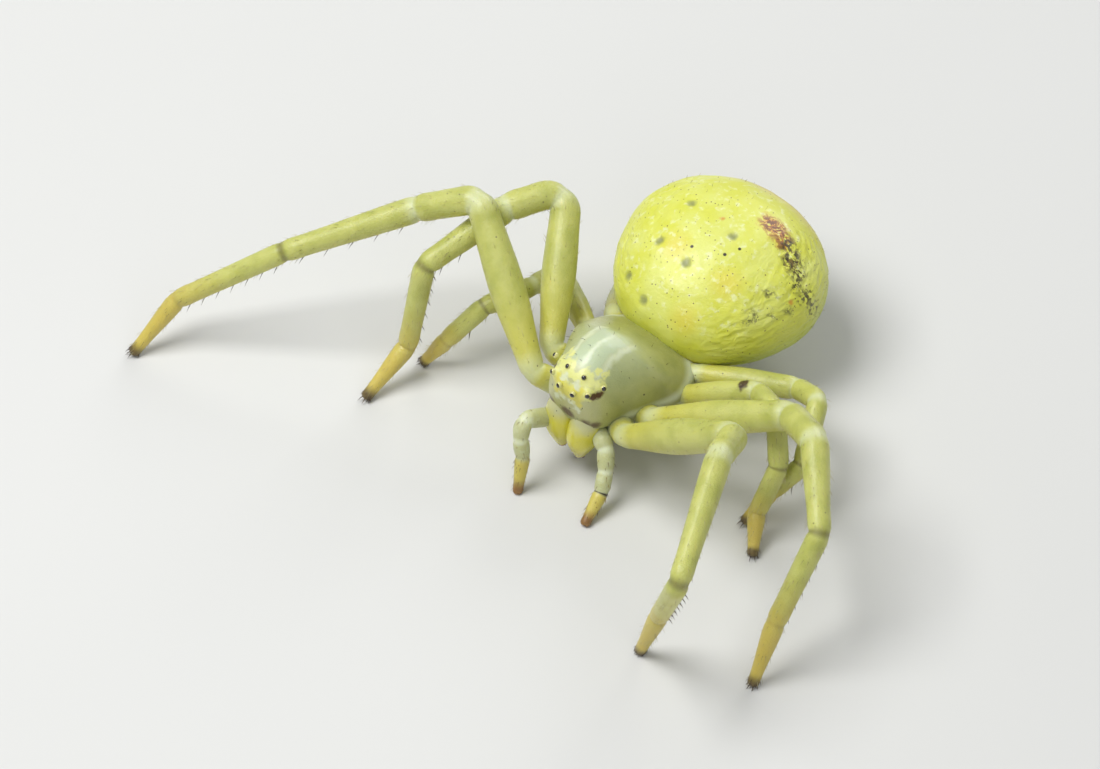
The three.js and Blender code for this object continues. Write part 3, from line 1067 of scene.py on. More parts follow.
class Straight:
    """A straight length of a limb's middle line."""

    def __init__(self, start: Vector, end: Vector) -> None:
        """Runs from one point to another.

        Args:
            start: The point nearer to the root.
            end: The point nearer to the tip.
        """
        self.start = start
        self.length = (end - start).length
        self.direction = (end - start).normalized()

    def point(self, distance: float) -> Vector:
        """Gives the point at a distance from the start."""
        return self.start + self.direction * distance

    def heading(self, distance: float) -> Vector:
        """Gives the direction, the same all along."""
        return self.direction.copy()


class Arc:
    """An arc that rounds the corner between two straight lengths."""

    def __init__(self, corner: Vector, before: Vector, after: Vector, radius: float) -> None:
        """Rounds a corner.

        Args:
            corner: Where the two lengths would meet.
            before: The direction of the first length.
            after: The direction of the second length.
            radius: The arc's radius.
        """
        self.angle = before.angle(after)
        self.axis = before.cross(after).normalized()
        self.arm = self.axis.cross(before) * -radius
        self.centre = corner - before * radius * math.tan(self.angle / 2) - self.arm
        self.before = before
        self.length = radius * self.angle

    def turned(self, vector: Vector, distance: float) -> Vector:
        """Turns a vector by the arc's angle up to a distance along it."""
        return Quaternion(self.axis, self.angle * distance / self.length) @ vector

    def point(self, distance: float) -> Vector:
        """Gives the point at a distance from the start."""
        return self.centre + self.turned(self.arm, distance)

    def heading(self, distance: float) -> Vector:
        """Gives the direction at a distance from the start."""
        return self.turned(self.before, distance)


class Route:
    """A limb's middle line through its joints, each corner about as tight as the limb is thick."""

    TIGHTNESS = 1.15
    ROOM = 0.96

    def __init__(self, points: Sequence[Vector], girths: Sequence[float]) -> None:
        """Rounds the corners.

        Args:
            points: The joints from the root to the tip.
            girths: The half thickness at each joint.
        """
        last = len(points) - 1
        lengths = [(points[i + 1] - points[i]).length for i in range(last)]
        headings = [(points[i + 1] - points[i]).normalized() for i in range(last)]
        radii = [girth * self.TIGHTNESS for girth in girths]
        reach = [0.0] * (last + 1)
        for i in range(1, last):
            reach[i] = radii[i] * math.tan(headings[i - 1].angle(headings[i]) / 2)
        for i in range(1, last):
            before = lengths[i - 1] * self.ROOM / (reach[i - 1] + reach[i])
            after = lengths[i] * self.ROOM / (reach[i] + reach[i + 1])
            radii[i] *= min(1.0, before, after)
        self.parts: list[Straight | Arc] = []
        self.joints = [0.0]
        self.length = 0.0
        start = points[0]
        for i in range(1, last):
            arc = Arc(points[i], headings[i - 1], headings[i], radii[i])
            self._append(Straight(start, arc.point(0.0)))
            self.joints.append(self.length + arc.length / 2)
            self._append(arc)
            start = arc.point(arc.length)
        self._append(Straight(start, points[last]))
        self.joints.append(self.length)

    def _append(self, part: "Straight | Arc") -> None:
        """Adds a part and its length."""
        self.parts.append(part)
        self.length += part.length

    def at(self, distance: float) -> tuple[Vector, Vector]:
        """Gives the point and the direction at a distance from the root.

        Args:
            distance: The distance, which may lie past either end.

        Returns:
            The point and the direction.
        """
        left = distance
        for part in self.parts[:-1]:
            if left <= part.length:
                return part.point(left), part.heading(left)
            left -= part.length
        return self.parts[-1].point(left), self.parts[-1].heading(left)


@dataclass
class Limb:
    """A jointed limb with one skin.

    Attributes:
        route: Its middle line.
        stations: Distances along the line where its girth is given.
        girths: The half thickness at each station.
        side: A direction square to the limb's bends.
        marks: Distances of the joints, which number the lengths from the root.
        step: The distance between the skin's rings.
        sides: How many corners a ring has.
        waist: How much thinner a joint is, as a share.
        waist_length: How far a waist reaches along the line.
        inset: The skin's thickness as a share of the girths, so that it lies inside the solids.
        swelling: How much thicker a length is just before a joint, as a share.
    """

    route: Route
    stations: Sequence[float]
    girths: Sequence[float]
    side: Vector
    marks: Sequence[float]
    step: float = 0.07
    sides: int = 20
    waist: float = 0.1
    waist_length: float = 0.09
    inset: float = 0.97
    swelling: float = 0.035

    def girth(self, distance: float) -> float:
        """Gives the half thickness at a distance, with a waist at each joint.

        Args:
            distance: The distance from the root.

        Returns:
            The half thickness in millimetres.
        """
        if distance >= self.stations[-1]:
            thick = self.girths[-1]
        else:
            upper = next((i for i, at in enumerate(self.stations) if i > 0 and distance <= at), 1)
            share = smoothstep(distance, self.stations[upper - 1], self.stations[upper])
            thick = lerp(self.girths[upper - 1], self.girths[upper], share)
        pinch = sum(hump(distance - mark, self.waist_length) for mark in self.marks[1:-1])
        swell = sum(hump(distance - mark + 0.28, 0.16) for mark in self.marks[2:-1])
        return thick * self.inset * (1 - self.waist * pinch + self.swelling * swell)

    def lengths_along(self, distance: float) -> float:
        """Gives a place counted in lengths: 1.5 is the middle of the second one.

        Args:
            distance: The distance from the root.

        Returns:
            The number of lengths.
        """
        last = len(self.marks) - 1
        i = next((i for i in range(1, last) if distance <= self.marks[i]), last)
        return i - 1 + (distance - self.marks[i - 1]) / (self.marks[i] - self.marks[i - 1])

    def frame(self, distance: float, scale: float) -> Matrix:
        """Gives the matrix that puts a unit ring in its place on the limb.

        Args:
            distance: The distance from the root.
            scale: The ring's radius.

        Returns:
            A matrix whose X and Y lie across the limb and whose Z runs along it.
        """
        centre, along = self.route.at(distance)
        across = (self.side - along * self.side.dot(along)).normalized()
        outward = along.cross(across)
        turn = Matrix((across, outward, along)).transposed().to_4x4()
        return Matrix.Translation(centre) @ turn @ Matrix.Scale(scale, 4)

    def on_skin(self, distance: float, angle: float) -> tuple[Vector, Vector, Vector]:
        """Finds a point of the skin.

        Args:
            distance: The distance from the root.
            angle: The angle round the limb.

        Returns:
            The point, its normal and the direction along the limb.
        """
        frame = self.frame(distance, self.girth(distance))
        outward = Vector((math.cos(angle), math.sin(angle), 0.0))
        point = frame @ outward
        turn = frame.to_quaternion()
        return point, turn @ outward, turn @ Vector((0, 0, 1))

    def unwrap(self, distance: float, angle: float) -> tuple[float, float]:
        """Gives a skin point's place on the unwrap."""
        return 0.02 + 0.96 * distance / self.route.length, (angle / math.tau) % 1

    def bristle(
        self, distance: float, angle: float, lean: float, length: float, radius: float
    ) -> Bristle:
        """Roots a bristle in the skin.

        Args:
            distance: The root's distance along the limb.
            angle: Its angle round the limb.
            lean: How far the bristle stands off the skin; at 0 it lies along the limb.
            length: Its length.
            radius: Its radius at the root.

        Returns:
            The bristle.
        """
        point, normal, along = self.on_skin(distance, angle)
        direction = (normal * lean + along).normalized()
        root = point - normal * ROOT_DEPTH
        return Bristle(root, direction, length, radius, self.unwrap(distance, angle))

    def skin(self, tip_round: float = 0.12) -> bmesh.types.BMesh:
        """Draws a ring along the whole limb and closes both ends.

        Args:
            tip_round: The length over which the tip is rounded.

        Returns:
            The closed skin, with its place along the limb and its lower side stored on its points.
        """
        bm = bmesh.new()
        along_layer = bm.verts.layers.float.new("along")
        under_layer = bm.verts.layers.float.new("under")
        count = math.ceil(self.route.length / self.step)
        distances = [self.route.length * i / count for i in range(count + 1)]
        rings = [(distance, self.girth(distance)) for distance in distances]
        for share in (i / 6 for i in range(1, 6)):
            shrunk = rings[count][1] * math.sqrt(1 - share**2)
            rings.append((self.route.length + tip_round * share, shrunk))
        frame = self.frame(*rings[0])
        verts = bmesh.ops.create_circle(
            bm, segments=self.sides, radius=1.0, matrix=frame, cap_ends=True
        )["verts"]
        edges = list({edge for vert in verts for edge in vert.link_edges})
        self._store(verts, rings[0][0], along_layer, under_layer)
        for distance, radius in rings[1:]:
            drawn = bmesh.ops.extrude_edge_only(bm, edges=edges)["geom"]
            verts = [part for part in drawn if isinstance(part, bmesh.types.BMVert)]
            edges = [part for part in drawn if isinstance(part, bmesh.types.BMEdge)]
            moved = self.frame(distance, radius)
            bmesh.ops.transform(bm, matrix=moved @ frame.inverted(), verts=verts)
            frame = moved
            self._store(verts, distance, along_layer, under_layer)
        bmesh.ops.edgeloop_fill(bm, edges=edges)
        for vert in bm.verts:
            vert.co.z = max(vert.co.z, SKIN_CLEARANCE)
        return bm

    def _store(
        self,
        verts: Sequence[bmesh.types.BMVert],
        distance: float,
        along_layer: bmesh.types.BMLayerItem,
        under_layer: bmesh.types.BMLayerItem,
    ) -> None:
        """Stores a ring's place along the limb, and how far each of its points faces down.

        Args:
            verts: The ring's points.
            distance: The ring's distance from the root.
            along_layer: Where the place along the limb is stored.
            under_layer: Where it is stored how far a point faces down.
        """
        centre, _ = self.route.at(distance)
        for vert in verts:
            vert[along_layer] = self.lengths_along(distance)
            vert[under_layer] = -(vert.co - centre).normalized().z


def shaped_ball(fineness: int, place: Callable[[float, float, float], Vector]) -> bmesh.types.BMesh:
    """Reshapes an even ball into a body part.

    Args:
        fineness: How often the ball's faces are divided.
        place: Gives the point in the trunk's frame, from t (-1 at the front pole and +1 at the rear
            one) and the direction round the long axis, across and up.

    Returns:
        The closed skin, with its place in the trunk's frame stored on its points.
    """
    bm = bmesh.new()
    bmesh.ops.create_icosphere(bm, subdivisions=fineness, radius=1.0)
    trunk_layer = bm.verts.layers.float_vector.new("trunk")
    for vert in bm.verts:
        t = min(1.0, max(-1.0, vert.co.y))
        ring = math.hypot(vert.co.x, vert.co.z)
        across, up = (vert.co.x / ring, vert.co.z / ring) if ring > 1e-6 else (0.0, 0.0)
        point = place(t, across, up)
        vert[trunk_layer] = point
        vert.co = TRUNK @ point
    return bm


def scatter(
    bm: bmesh.types.BMesh,
    count: int,
    draw: random.Random,
    keep: Callable[[Vector], bool],
) -> list[tuple[Vector, Vector, Vector]]:
    """Picks random places on a skin.

    Args:
        bm: The skin, with its place in the trunk's frame stored on its points.
        count: How many places.
        draw: The seeded source of randomness.
        keep: Says whether a place in the trunk's frame may be used.

    Returns:
        For each, the point, its normal and its place in the trunk's frame.
    """
    bmesh.ops.recalc_face_normals(bm, faces=bm.faces)
    bm.faces.ensure_lookup_table()
    layer = bm.verts.layers.float_vector["trunk"]
    places = []
    while len(places) < count:
        face = bm.faces[draw.randrange(len(bm.faces))]
        local = face.verts[0][layer].copy()
        if keep(local):
            places.append((face.calc_center_median(), face.normal.copy(), local))
    return places


@dataclass
class Carapace:
    """The shield of head and thorax, with a mound under each eye."""

    middle: float = -0.16
    length: float = 3.6
    half_width: float = 1.62
    head_half_width: float = 0.98
    rim: float = -0.35
    dome: float = 1.85
    under: float = 0.35
    head_lift: float = 0.3
    rear_drop: float = 0.5
    rear_sag: float = 0.34
    front_power: float = 4.0
    rear_power: float = 2.6
    head_boxiness: float = 0.8
    rear_boxiness: float = 1.08
    mound_width: float = 1.9
    fineness: int = 7
    seed: int = 11
    bristle_count: int = 36
    bristle_length: tuple[float, float] = (0.06, 0.14)
    bristle_radius: float = 0.007
    finish: ShieldFinish = ShieldFinish()

    def place(self, t: float, across: float, up: float) -> Vector:
        """Gives the shell's point in the trunk's frame.

        Args:
            t: The place between the front pole at -1 and the rear one at +1.
            across: How far across the direction round the long axis points.
            up: How far up it points.

        Returns:
            The point.
        """
        front = t < 0
        full = fullness(t, self.front_power if front else self.rear_power)
        fall = full if front else (1 - t**1.4) ** 1.1
        flank = lerp(self.head_half_width, self.half_width, smoothstep(t, -0.8, 0.3))
        boxiness = self.head_boxiness
        if up > 0:
            boxiness = lerp(boxiness, self.rear_boxiness, smoothstep(t, -0.9, -0.3))
        lift = self.head_lift * smoothstep(-t, 0.35, 0.95) if front else 0.0
        drop = self.rear_drop * smoothstep(t, -0.35, 0.45)
        rise = (self.dome - lift - drop) * fall if up > 0 else self.under * full
        point = Vector((
            flank * full * boxy(across, boxiness),
            self.middle + t * self.length / 2,
            self.rim + lift - self.rear_sag * smoothstep(t, -0.3, 0.9) + rise * boxy(up, boxiness),
        ))
        return point + self.mounds(point)

    def mounds(self, point: Vector) -> Vector:
        """Gives how far the shell is pushed out round the eyes.

        Args:
            point: A point of the smooth shell.

        Returns:
            The push outwards.
        """
        outward = (point - Vector((0.0, -1.0, 0.4))).normalized()
        push = 0.0
        for eye in EYES:
            for side in Side:
                away = (point - side.mirrored(eye.at)).length
                push = max(push, eye.mound * hump(away, eye.radius * self.mound_width))
        return outward * push

    def build(self) -> None:
        """Builds the shell and its few bristles."""
        bm = shaped_ball(self.fineness, self.place)
        draw = random.Random(self.seed)
        bristles = Bristles()
        forward = trunk_way((0, -1, 0.2))
        places = scatter(bm, self.bristle_count, draw, lambda p: p.z > 0.2 and p.y < 0.6)
        for point, normal, local in places:
            direction = (normal + forward * draw.uniform(0.2, 0.7)).normalized()
            length = draw.uniform(*self.bristle_length)
            unwrap = (0.5 + local.x / 4, 0.5 + local.y / 5)
            root = point - normal * ROOT_DEPTH
            bristles.add(Bristle(root, direction, length, self.bristle_radius, unwrap))
        Piece.finish(bm, "carapace_skin", self.finish.material(), Slot.THORAX, ["carapace"])
        bristles.finish("carapace_bristles", BristleFinish().material(), Slot.THORAX)


@dataclass
class Abdomen:
    """The abdomen: a globe with a blunt front, widest towards the rear and flatter below."""

    middle: float = 3.5
    half_length: float = 2.48
    half_width: float = 2.7
    centre_height: float = -0.38
    above: float = 1.72
    below: float = 1.5
    tilt: float = -4.0
    front_power: float = 2.5
    rear_power: float = 2.1
    front_taper: float = 0.84
    front_lowering: float = 0.86
    boxiness: float = 0.94
    fineness: int = 7
    dent: float = 0.05
    dent_width: float = 0.14
    fold_depth: float = 0.05
    fold_scale: Point = (3.0, 1.8, 8.0)
    inset: float = 0.02
    seed: int = 23
    bristle_count: int = 260
    bristle_length: tuple[float, float] = (0.05, 0.11)
    bristle_radius: float = 0.005
    finish: AbdomenFinish = AbdomenFinish()

    def place(self, t: float, across: float, up: float) -> Vector:
        """Gives the skin's point in the trunk's frame.

        Args:
            t: The place between the front pole at -1 and the rear one at +1.
            across: How far across the direction round the long axis points.
            up: How far up it points.

        Returns:
            The point.
        """
        full = fullness(t, self.front_power if t < 0 else self.rear_power)
        taper = lerp(self.front_taper, 1.0, smoothstep(t, -1.0, 0.25))
        height = self.above if up > 0 else self.below
        height *= lerp(self.front_lowering, 1.0, smoothstep(t, -1.0, 0.0))
        point = Vector((
            self.half_width * full * taper * boxy(across, self.boxiness),
            t * self.half_length,
            height * full * boxy(up, self.boxiness),
        ))
        turned = Matrix.Rotation(math.radians(self.tilt), 3, "X") @ point
        placed = turned + Vector((0.0, self.middle, self.centre_height))
        return placed - point.normalized() * self.dents(placed)

    def dents(self, point: Vector) -> float:
        """Gives how far the skin sinks, at the muscle spots, in folds and unevenly.

        Args:
            point: A point of the smooth skin.

        Returns:
            The depth.
        """
        spots = self.finish.muscle_spots.points
        pits = max(hump((point - Vector(spot)).length, self.dent_width) for spot in spots)
        uneven = noise.noise(point * 1.6) * 0.025 + noise.noise(point * 4.0) * 0.008
        drawn_out = point * Vector(self.fold_scale)
        folds = abs(noise.noise(drawn_out)) * self.fold_depth * smoothstep(abs(point.x), 0.7, 2.0)
        return self.dent * pits + self.inset + uneven + folds

    def build(self) -> None:
        """Builds the skin and its fine bristles."""
        bm = shaped_ball(self.fineness, self.place)
        draw = random.Random(self.seed)
        bristles = Bristles()
        back = trunk_way((0, 1, -0.2))
        for point, normal, local in scatter(bm, self.bristle_count, draw, lambda p: p.y > 1.6):
            direction = (normal * 0.8 + back * draw.uniform(0.4, 0.9)).normalized()
            length = draw.uniform(*self.bristle_length)
            unwrap = (0.5 + local.x / 6, 0.1 + local.y / 7)
            root = point - normal * ROOT_DEPTH
            bristles.add(Bristle(root, direction, length, self.bristle_radius, unwrap))
        Piece.finish(bm, "abdomen_skin", self.finish.material(), Slot.ABDOMEN, ["abdomen"])
        fine = BristleFinish("bristle_abdomen", root=(0.12, 0.09, 0.03), shaft=(0.4, 0.34, 0.1))
        bristles.finish("abdomen_bristles", fine.material(), Slot.ABDOMEN)


@dataclass
class Underside:
    """The sternum between the hips, the narrow waist and the spinnerets."""

    middle: float = -0.1
    half_length: float = 1.2
    half_width: float = 0.8
    top: float = -0.62
    depth: float = 0.56
    power: float = 2.4
    boxiness: float = 0.8
    fineness: int = 5
    waist_middle: float = 1.35
    waist_half_length: float = 0.7
    waist_power: float = 3.0
    waist_fineness: int = 4
    waist_radius: float = 0.28
    waist_height: float = -0.5
    spinneret_radius: float = 0.15
    spinneret_length: float = 0.42
    spinneret_root: Point = (0.0, 5.55, -1.2)
    spinneret_spread: float = 0.15

    def place(self, t: float, across: float, up: float) -> Vector:
        """Gives the sternum's point in the trunk's frame.

        Args:
            t: The place between the front pole at -1 and the rear one at +1.
            across: How far across the direction round the long axis points.
            up: How far up it points.

        Returns:
            The point.
        """
        full = fullness(t, self.power)
        return Vector((
            self.half_width * full * boxy(across, self.boxiness),
            self.middle + t * self.half_length,
            self.top - self.depth + self.depth * full * boxy(up, self.boxiness),
        ))

    def build(self) -> None:
        """Builds the three parts."""
        shell = ShieldFinish("sternum_shell", flank=(0.5, 0.5, 0.24), flank_deep=(0.4, 0.4, 0.18))
        sternum = shaped_ball(self.fineness, self.place)
        Piece.finish(sternum, "sternum_skin", shell.material(), Slot.THORAX, ["sternum"])
        waist = shaped_ball(self.waist_fineness, self.waist_place)
        Piece.finish(waist, "waist", shell.material(), Slot.THORAX)
        self.build_spinnerets()

    def waist_place(self, t: float, across: float, up: float) -> Vector:
        """Gives the waist's point in the trunk's frame.

        Args:
            t: The place between the front pole at -1 and the rear one at +1.
            across: How far across the direction round the long axis points.
            up: How far up it points.

        Returns:
            The point.
        """
        girth = self.waist_radius * fullness(t, self.waist_power)
        return Vector((
            girth * across,
            self.waist_middle + t * self.waist_half_length,
            self.waist_height + girth * 0.8 * up,
        ))

    def build_spinnerets(self) -> None:
        """Builds two larger and two smaller spinnerets that point back and down."""
        bm = bmesh.new()
        layer = bm.verts.layers.float_vector.new("trunk")
        for side in Side:
            for drop, share in ((0.0, 0.8), (-0.16, 1.0)):
                offset = Vector((side.value * self.spinneret_spread, drop * 0.3, drop))
                axis = Vector((side.value * 0.1, 0.85, -0.45)).normalized()
                root = Vector(self.spinneret_root) + offset
                length = self.spinneret_length * share
                made = bmesh.ops.create_cone(
                    bm, cap_ends=True, segments=14, radius1=self.spinneret_radius * share,
                    radius2=self.spinneret_radius * 0.55 * share, depth=length,
                    matrix=Matrix.Translation(root + axis * length / 2) @ pointed(axis),
                )
                rims = list({edge for vert in made["verts"] for edge in vert.link_edges})
                bmesh.ops.bevel(
                    bm, geom=rims, offset=0.03, affect="EDGES", segments=2, profile=0.5, material=-1
                )
        for vert in bm.verts:
            vert[layer] = vert.co
        bmesh.ops.transform(bm, matrix=TRUNK, verts=bm.verts)
        finish = AbdomenFinish("spinneret_skin", lemon=(0.5, 0.42, 0.09), pale=(0.55, 0.5, 0.16))
        Piece.finish(bm, "spinneret_group", finish.material(), Slot.ABDOMEN, ["spinnerets"])


@dataclass
class Jaws:
    """The two chelicerae, each with its short folded fang."""

    top: Point = (0.4, -1.68, 0.12)
    tip: Point = (0.27, -2.0, -1.52)
    width: float = 0.42
    power: float = 2.6
    tip_share: float = 0.5
    fineness: int = 5
    fang_length: float = 0.24
    fang_radius: float = 0.05
    fang_tip_radius: float = 0.012
    finish: JawFinish = JawFinish()

    def build(self) -> None:
        """Builds both jaws and fangs."""
        material = self.finish.material()
        fang = BristleFinish(
            name="fang_horn", roughness=0.2, root=(0.16, 0.03, 0.01), shaft=(0.25, 0.06, 0.02)
        )
        fang_material = fang.material()
        for side in Side:
            bm = shaped_ball(self.fineness, partial(self.place, side))
            Piece.finish(bm, f"jaw_{side.word}", material, Slot.JAW, [f"chelicera_{side.word}"])
            self.build_fang(side, fang_material)

    def place(self, side: Side, t: float, across: float, up: float) -> Vector:
        """Gives a jaw's point in the trunk's frame.

        Args:
            side: The jaw's side.
            t: The place between the front pole at -1 and the rear one at +1.
            across: How far across the direction round the long axis points.
            up: How far up it points.

        Returns:
            The point.
        """
        down = (t + 1) / 2
        full = fullness(t, self.power) * lerp(1.0, self.tip_share, smoothstep(down, 0.45, 1.0))
        centre = Vector(self.top).lerp(Vector(self.tip), down)
        return Vector((
            side.value * centre.x + self.width * full * across,
            centre.y + self.width * 1.05 * full * up,
            centre.z,
        ))

    def build_fang(self, side: Side, material: bpy.types.Material) -> None:
        """Builds the fang: a curved horn folded inwards under the jaw's tip.

        Args:
            side: The jaw's side.
            material: The fang's material.
        """
        root = Vector((side.value * (self.tip[0] + 0.1), self.tip[1] + 0.02, self.tip[2] + 0.1))
        bends = ((0.0, 0.0, 0.0), (-0.02, 0.0, -0.45), (-0.14, 0.03, -0.75))
        steps = [side.mirrored((x, y, z * self.fang_length)) for x, y, z in bends]
        route = Route([TRUNK @ (root + step) for step in steps], [self.fang_radius * 3] * 3)
        girths = [self.fang_radius, self.fang_tip_radius]
        limb = Limb(
            route, [0.0, route.length], girths, Vector((0, 1, 0)), route.joints,
            step=0.02, sides=10, waist=0.0,
        )
        Piece.finish(limb.skin(0.01), f"fang_{side.word}", material, Slot.JAW)


@dataclass
class EyeSet:
    """The eight eyes."""

    finish: EyeFinish = EyeFinish()

    def build(self) -> None:
        """Builds each eye as a bead that stands a little out of its mound."""
        material = self.finish.material()
        for eye in EYES:
            for side in Side:
                bm = bmesh.new()
                centre = TRUNK @ side.mirrored(eye.at)
                bmesh.ops.create_icosphere(
                    bm, subdivisions=4, radius=eye.radius, matrix=Matrix.Translation(centre)
                )
                look = trunk_way(side.mirrored(eye.look))
                layer = bm.verts.layers.float.new("facing")
                for vert in bm.verts:
                    vert[layer] = (vert.co - centre).normalized().dot(look)
                name = f"{eye.name}_{side.word}"
                Piece.finish(bm, f"bead_{name}", material, Slot.EYE, [f"eye_{name}"])


@dataclass
class Palp:
    """One palp, bent along a line through its joints."""

    side: Side
    joints: Sequence[Point]
    girths: Sequence[float] = (0.25, 0.25, 0.22, 0.2, 0.19, 0.13)
    seed: int = 31
    bristle_count: int = 54
    bristle_length: tuple[float, float] = (0.07, 0.15)
    bristle_radius: float = 0.007
    crowding: float = 0.6
    lean: float = 0.6

    def build(self) -> None:
        """Builds the palp's skin and bristles."""
        points = [TRUNK @ Vector(joint) for joint in self.joints]
        route = Route(points, self.girths)
        side = (points[2] - points[0]).cross(points[-1] - points[2]).normalized()
        limb = Limb(
            route, route.joints, self.girths, side, route.joints, step=0.04, waist_length=0.07
        )
        word = self.side.word
        finish = PalpFinish(name=f"palp_skin_{word}", ringed=self.side is Side.LEFT)
        nodes = [f"palp_{word}", f"palp_tip_{word}"]
        Piece.finish(limb.skin(), f"palp_{word}_skin", finish.material(), Slot.LEG, nodes)
        draw = random.Random(self.seed + self.side.value)
        bristles = Bristles()
        for _ in range(self.bristle_count):
            distance = lerp(route.joints[1], route.length, draw.random() ** self.crowding)
            angle = draw.uniform(0, math.tau)
            length = draw.uniform(*self.bristle_length)
            bristles.add(limb.bristle(distance, angle, self.lean, length, self.bristle_radius))
        brown = BristleFinish(
            name=f"bristle_palp_{word}", root=(0.1, 0.05, 0.02), shaft=(0.3, 0.2, 0.07)
        )
        bristles.finish(f"palp_{word}_bristles", brown.material(), Slot.LEG)


@dataclass(frozen=True)
class LegBuild:
    """The build of a pair of legs.

    Attributes:
        lengths: Femur, patella, tibia, metatarsus and tarsus.
        root: Where the coxa starts on the left side, in the trunk's frame.
        hinge: Where the femur hinges.
        girth: The half thickness at root, femur base, femur middle, knee, patella end, tibia end,
            metatarsus end and tip.
        spine_pairs: The pairs of short dark spines under tibia and metatarsus.
        hairs: The number of fine hairs.
    """

    lengths: Sequence[float]
    root: Point
    hinge: Point
    girth: Sequence[float]
    spine_pairs: tuple[int, int]
    hairs: int


LEG_BUILDS = {
    1: LegBuild(
        (4.32, 1.66, 3.47, 3.04, 1.68), (0.5, -0.95, -0.85), (1.46, -1.55, -0.05),
        (0.36, 0.31, 0.45, 0.37, 0.34, 0.27, 0.24, 0.15), (5, 7), 330,
    ),
    2: LegBuild(
        (3.91, 1.55, 2.42, 2.47, 1.54), (0.62, -0.4, -0.9), (1.62, -0.74, -0.15),
        (0.36, 0.31, 0.43, 0.37, 0.36, 0.28, 0.25, 0.15), (4, 6), 300,
    ),
    3: LegBuild(
        (2.17, 0.97, 1.32, 1.31, 0.95), (0.6, 0.18, -0.9), (1.5, 0.42, -0.6),
        (0.32, 0.26, 0.31, 0.28, 0.26, 0.25, 0.23, 0.14), (0, 1), 200,
    ),
    4: LegBuild(
        (2.52, 1.03, 1.69, 1.17, 0.92), (0.45, 0.7, -0.88), (1.3, 1.12, -0.68),
        (0.34, 0.27, 0.32, 0.28, 0.26, 0.25, 0.23, 0.14), (0, 1), 200,
    ),
}

# The heading and the rise of femur, patella, tibia and metatarsus, in degrees, with +X as 0 and +Y
# as 90, then the tarsus's heading, whose rise follows from the floor
LEG_POSES = {
    (Side.LEFT, 1): (-1, 36, -62, 31, -65, -14, 151, -61, 184),
    (Side.LEFT, 2): (18, 25, -26, 22, -46, -16, -95, -54, -85),
    (Side.LEFT, 3): (18, 26, -22, 13, -45, -46, -100, -59, -56),
    (Side.LEFT, 4): (26, 4, -17, 25, -63, -21, -139, -51, -107),
    (Side.RIGHT, 1): (153, 38, 210, -23, 225, -21, 224, -30, 251),
    (Side.RIGHT, 2): (124, 33, 240, -6, 254, -16, 259, -76, 262),
    (Side.RIGHT, 3): (150, -5, 269, 17, 248, -4, 237, -43, 216),
    (Side.RIGHT, 4): (125, -30, 104, 24, 97, -10, 79, -17, 80),
}

# The one leg with a dark blot above its knee
SPOTTED_LEG = (Side.LEFT, 3)

PALP_ROUTES = {
    Side.LEFT: (
        (0.45, -1.55, -0.62), (0.85, -1.76, -0.45), (1.1, -1.9, -0.55), (1.35, -2.23, -0.88),
        (1.5, -2.6, -1.22), (1.62, -3.32, -1.5),
    ),
    Side.RIGHT: (
        (-0.45, -1.55, -0.62), (-0.62, -2.1, -0.56), (-0.75, -2.73, -0.05), (-0.6, -3.02, -0.41),
        (-0.45, -3.16, -0.84), (-0.29, -3.6, -1.62),
    ),
}


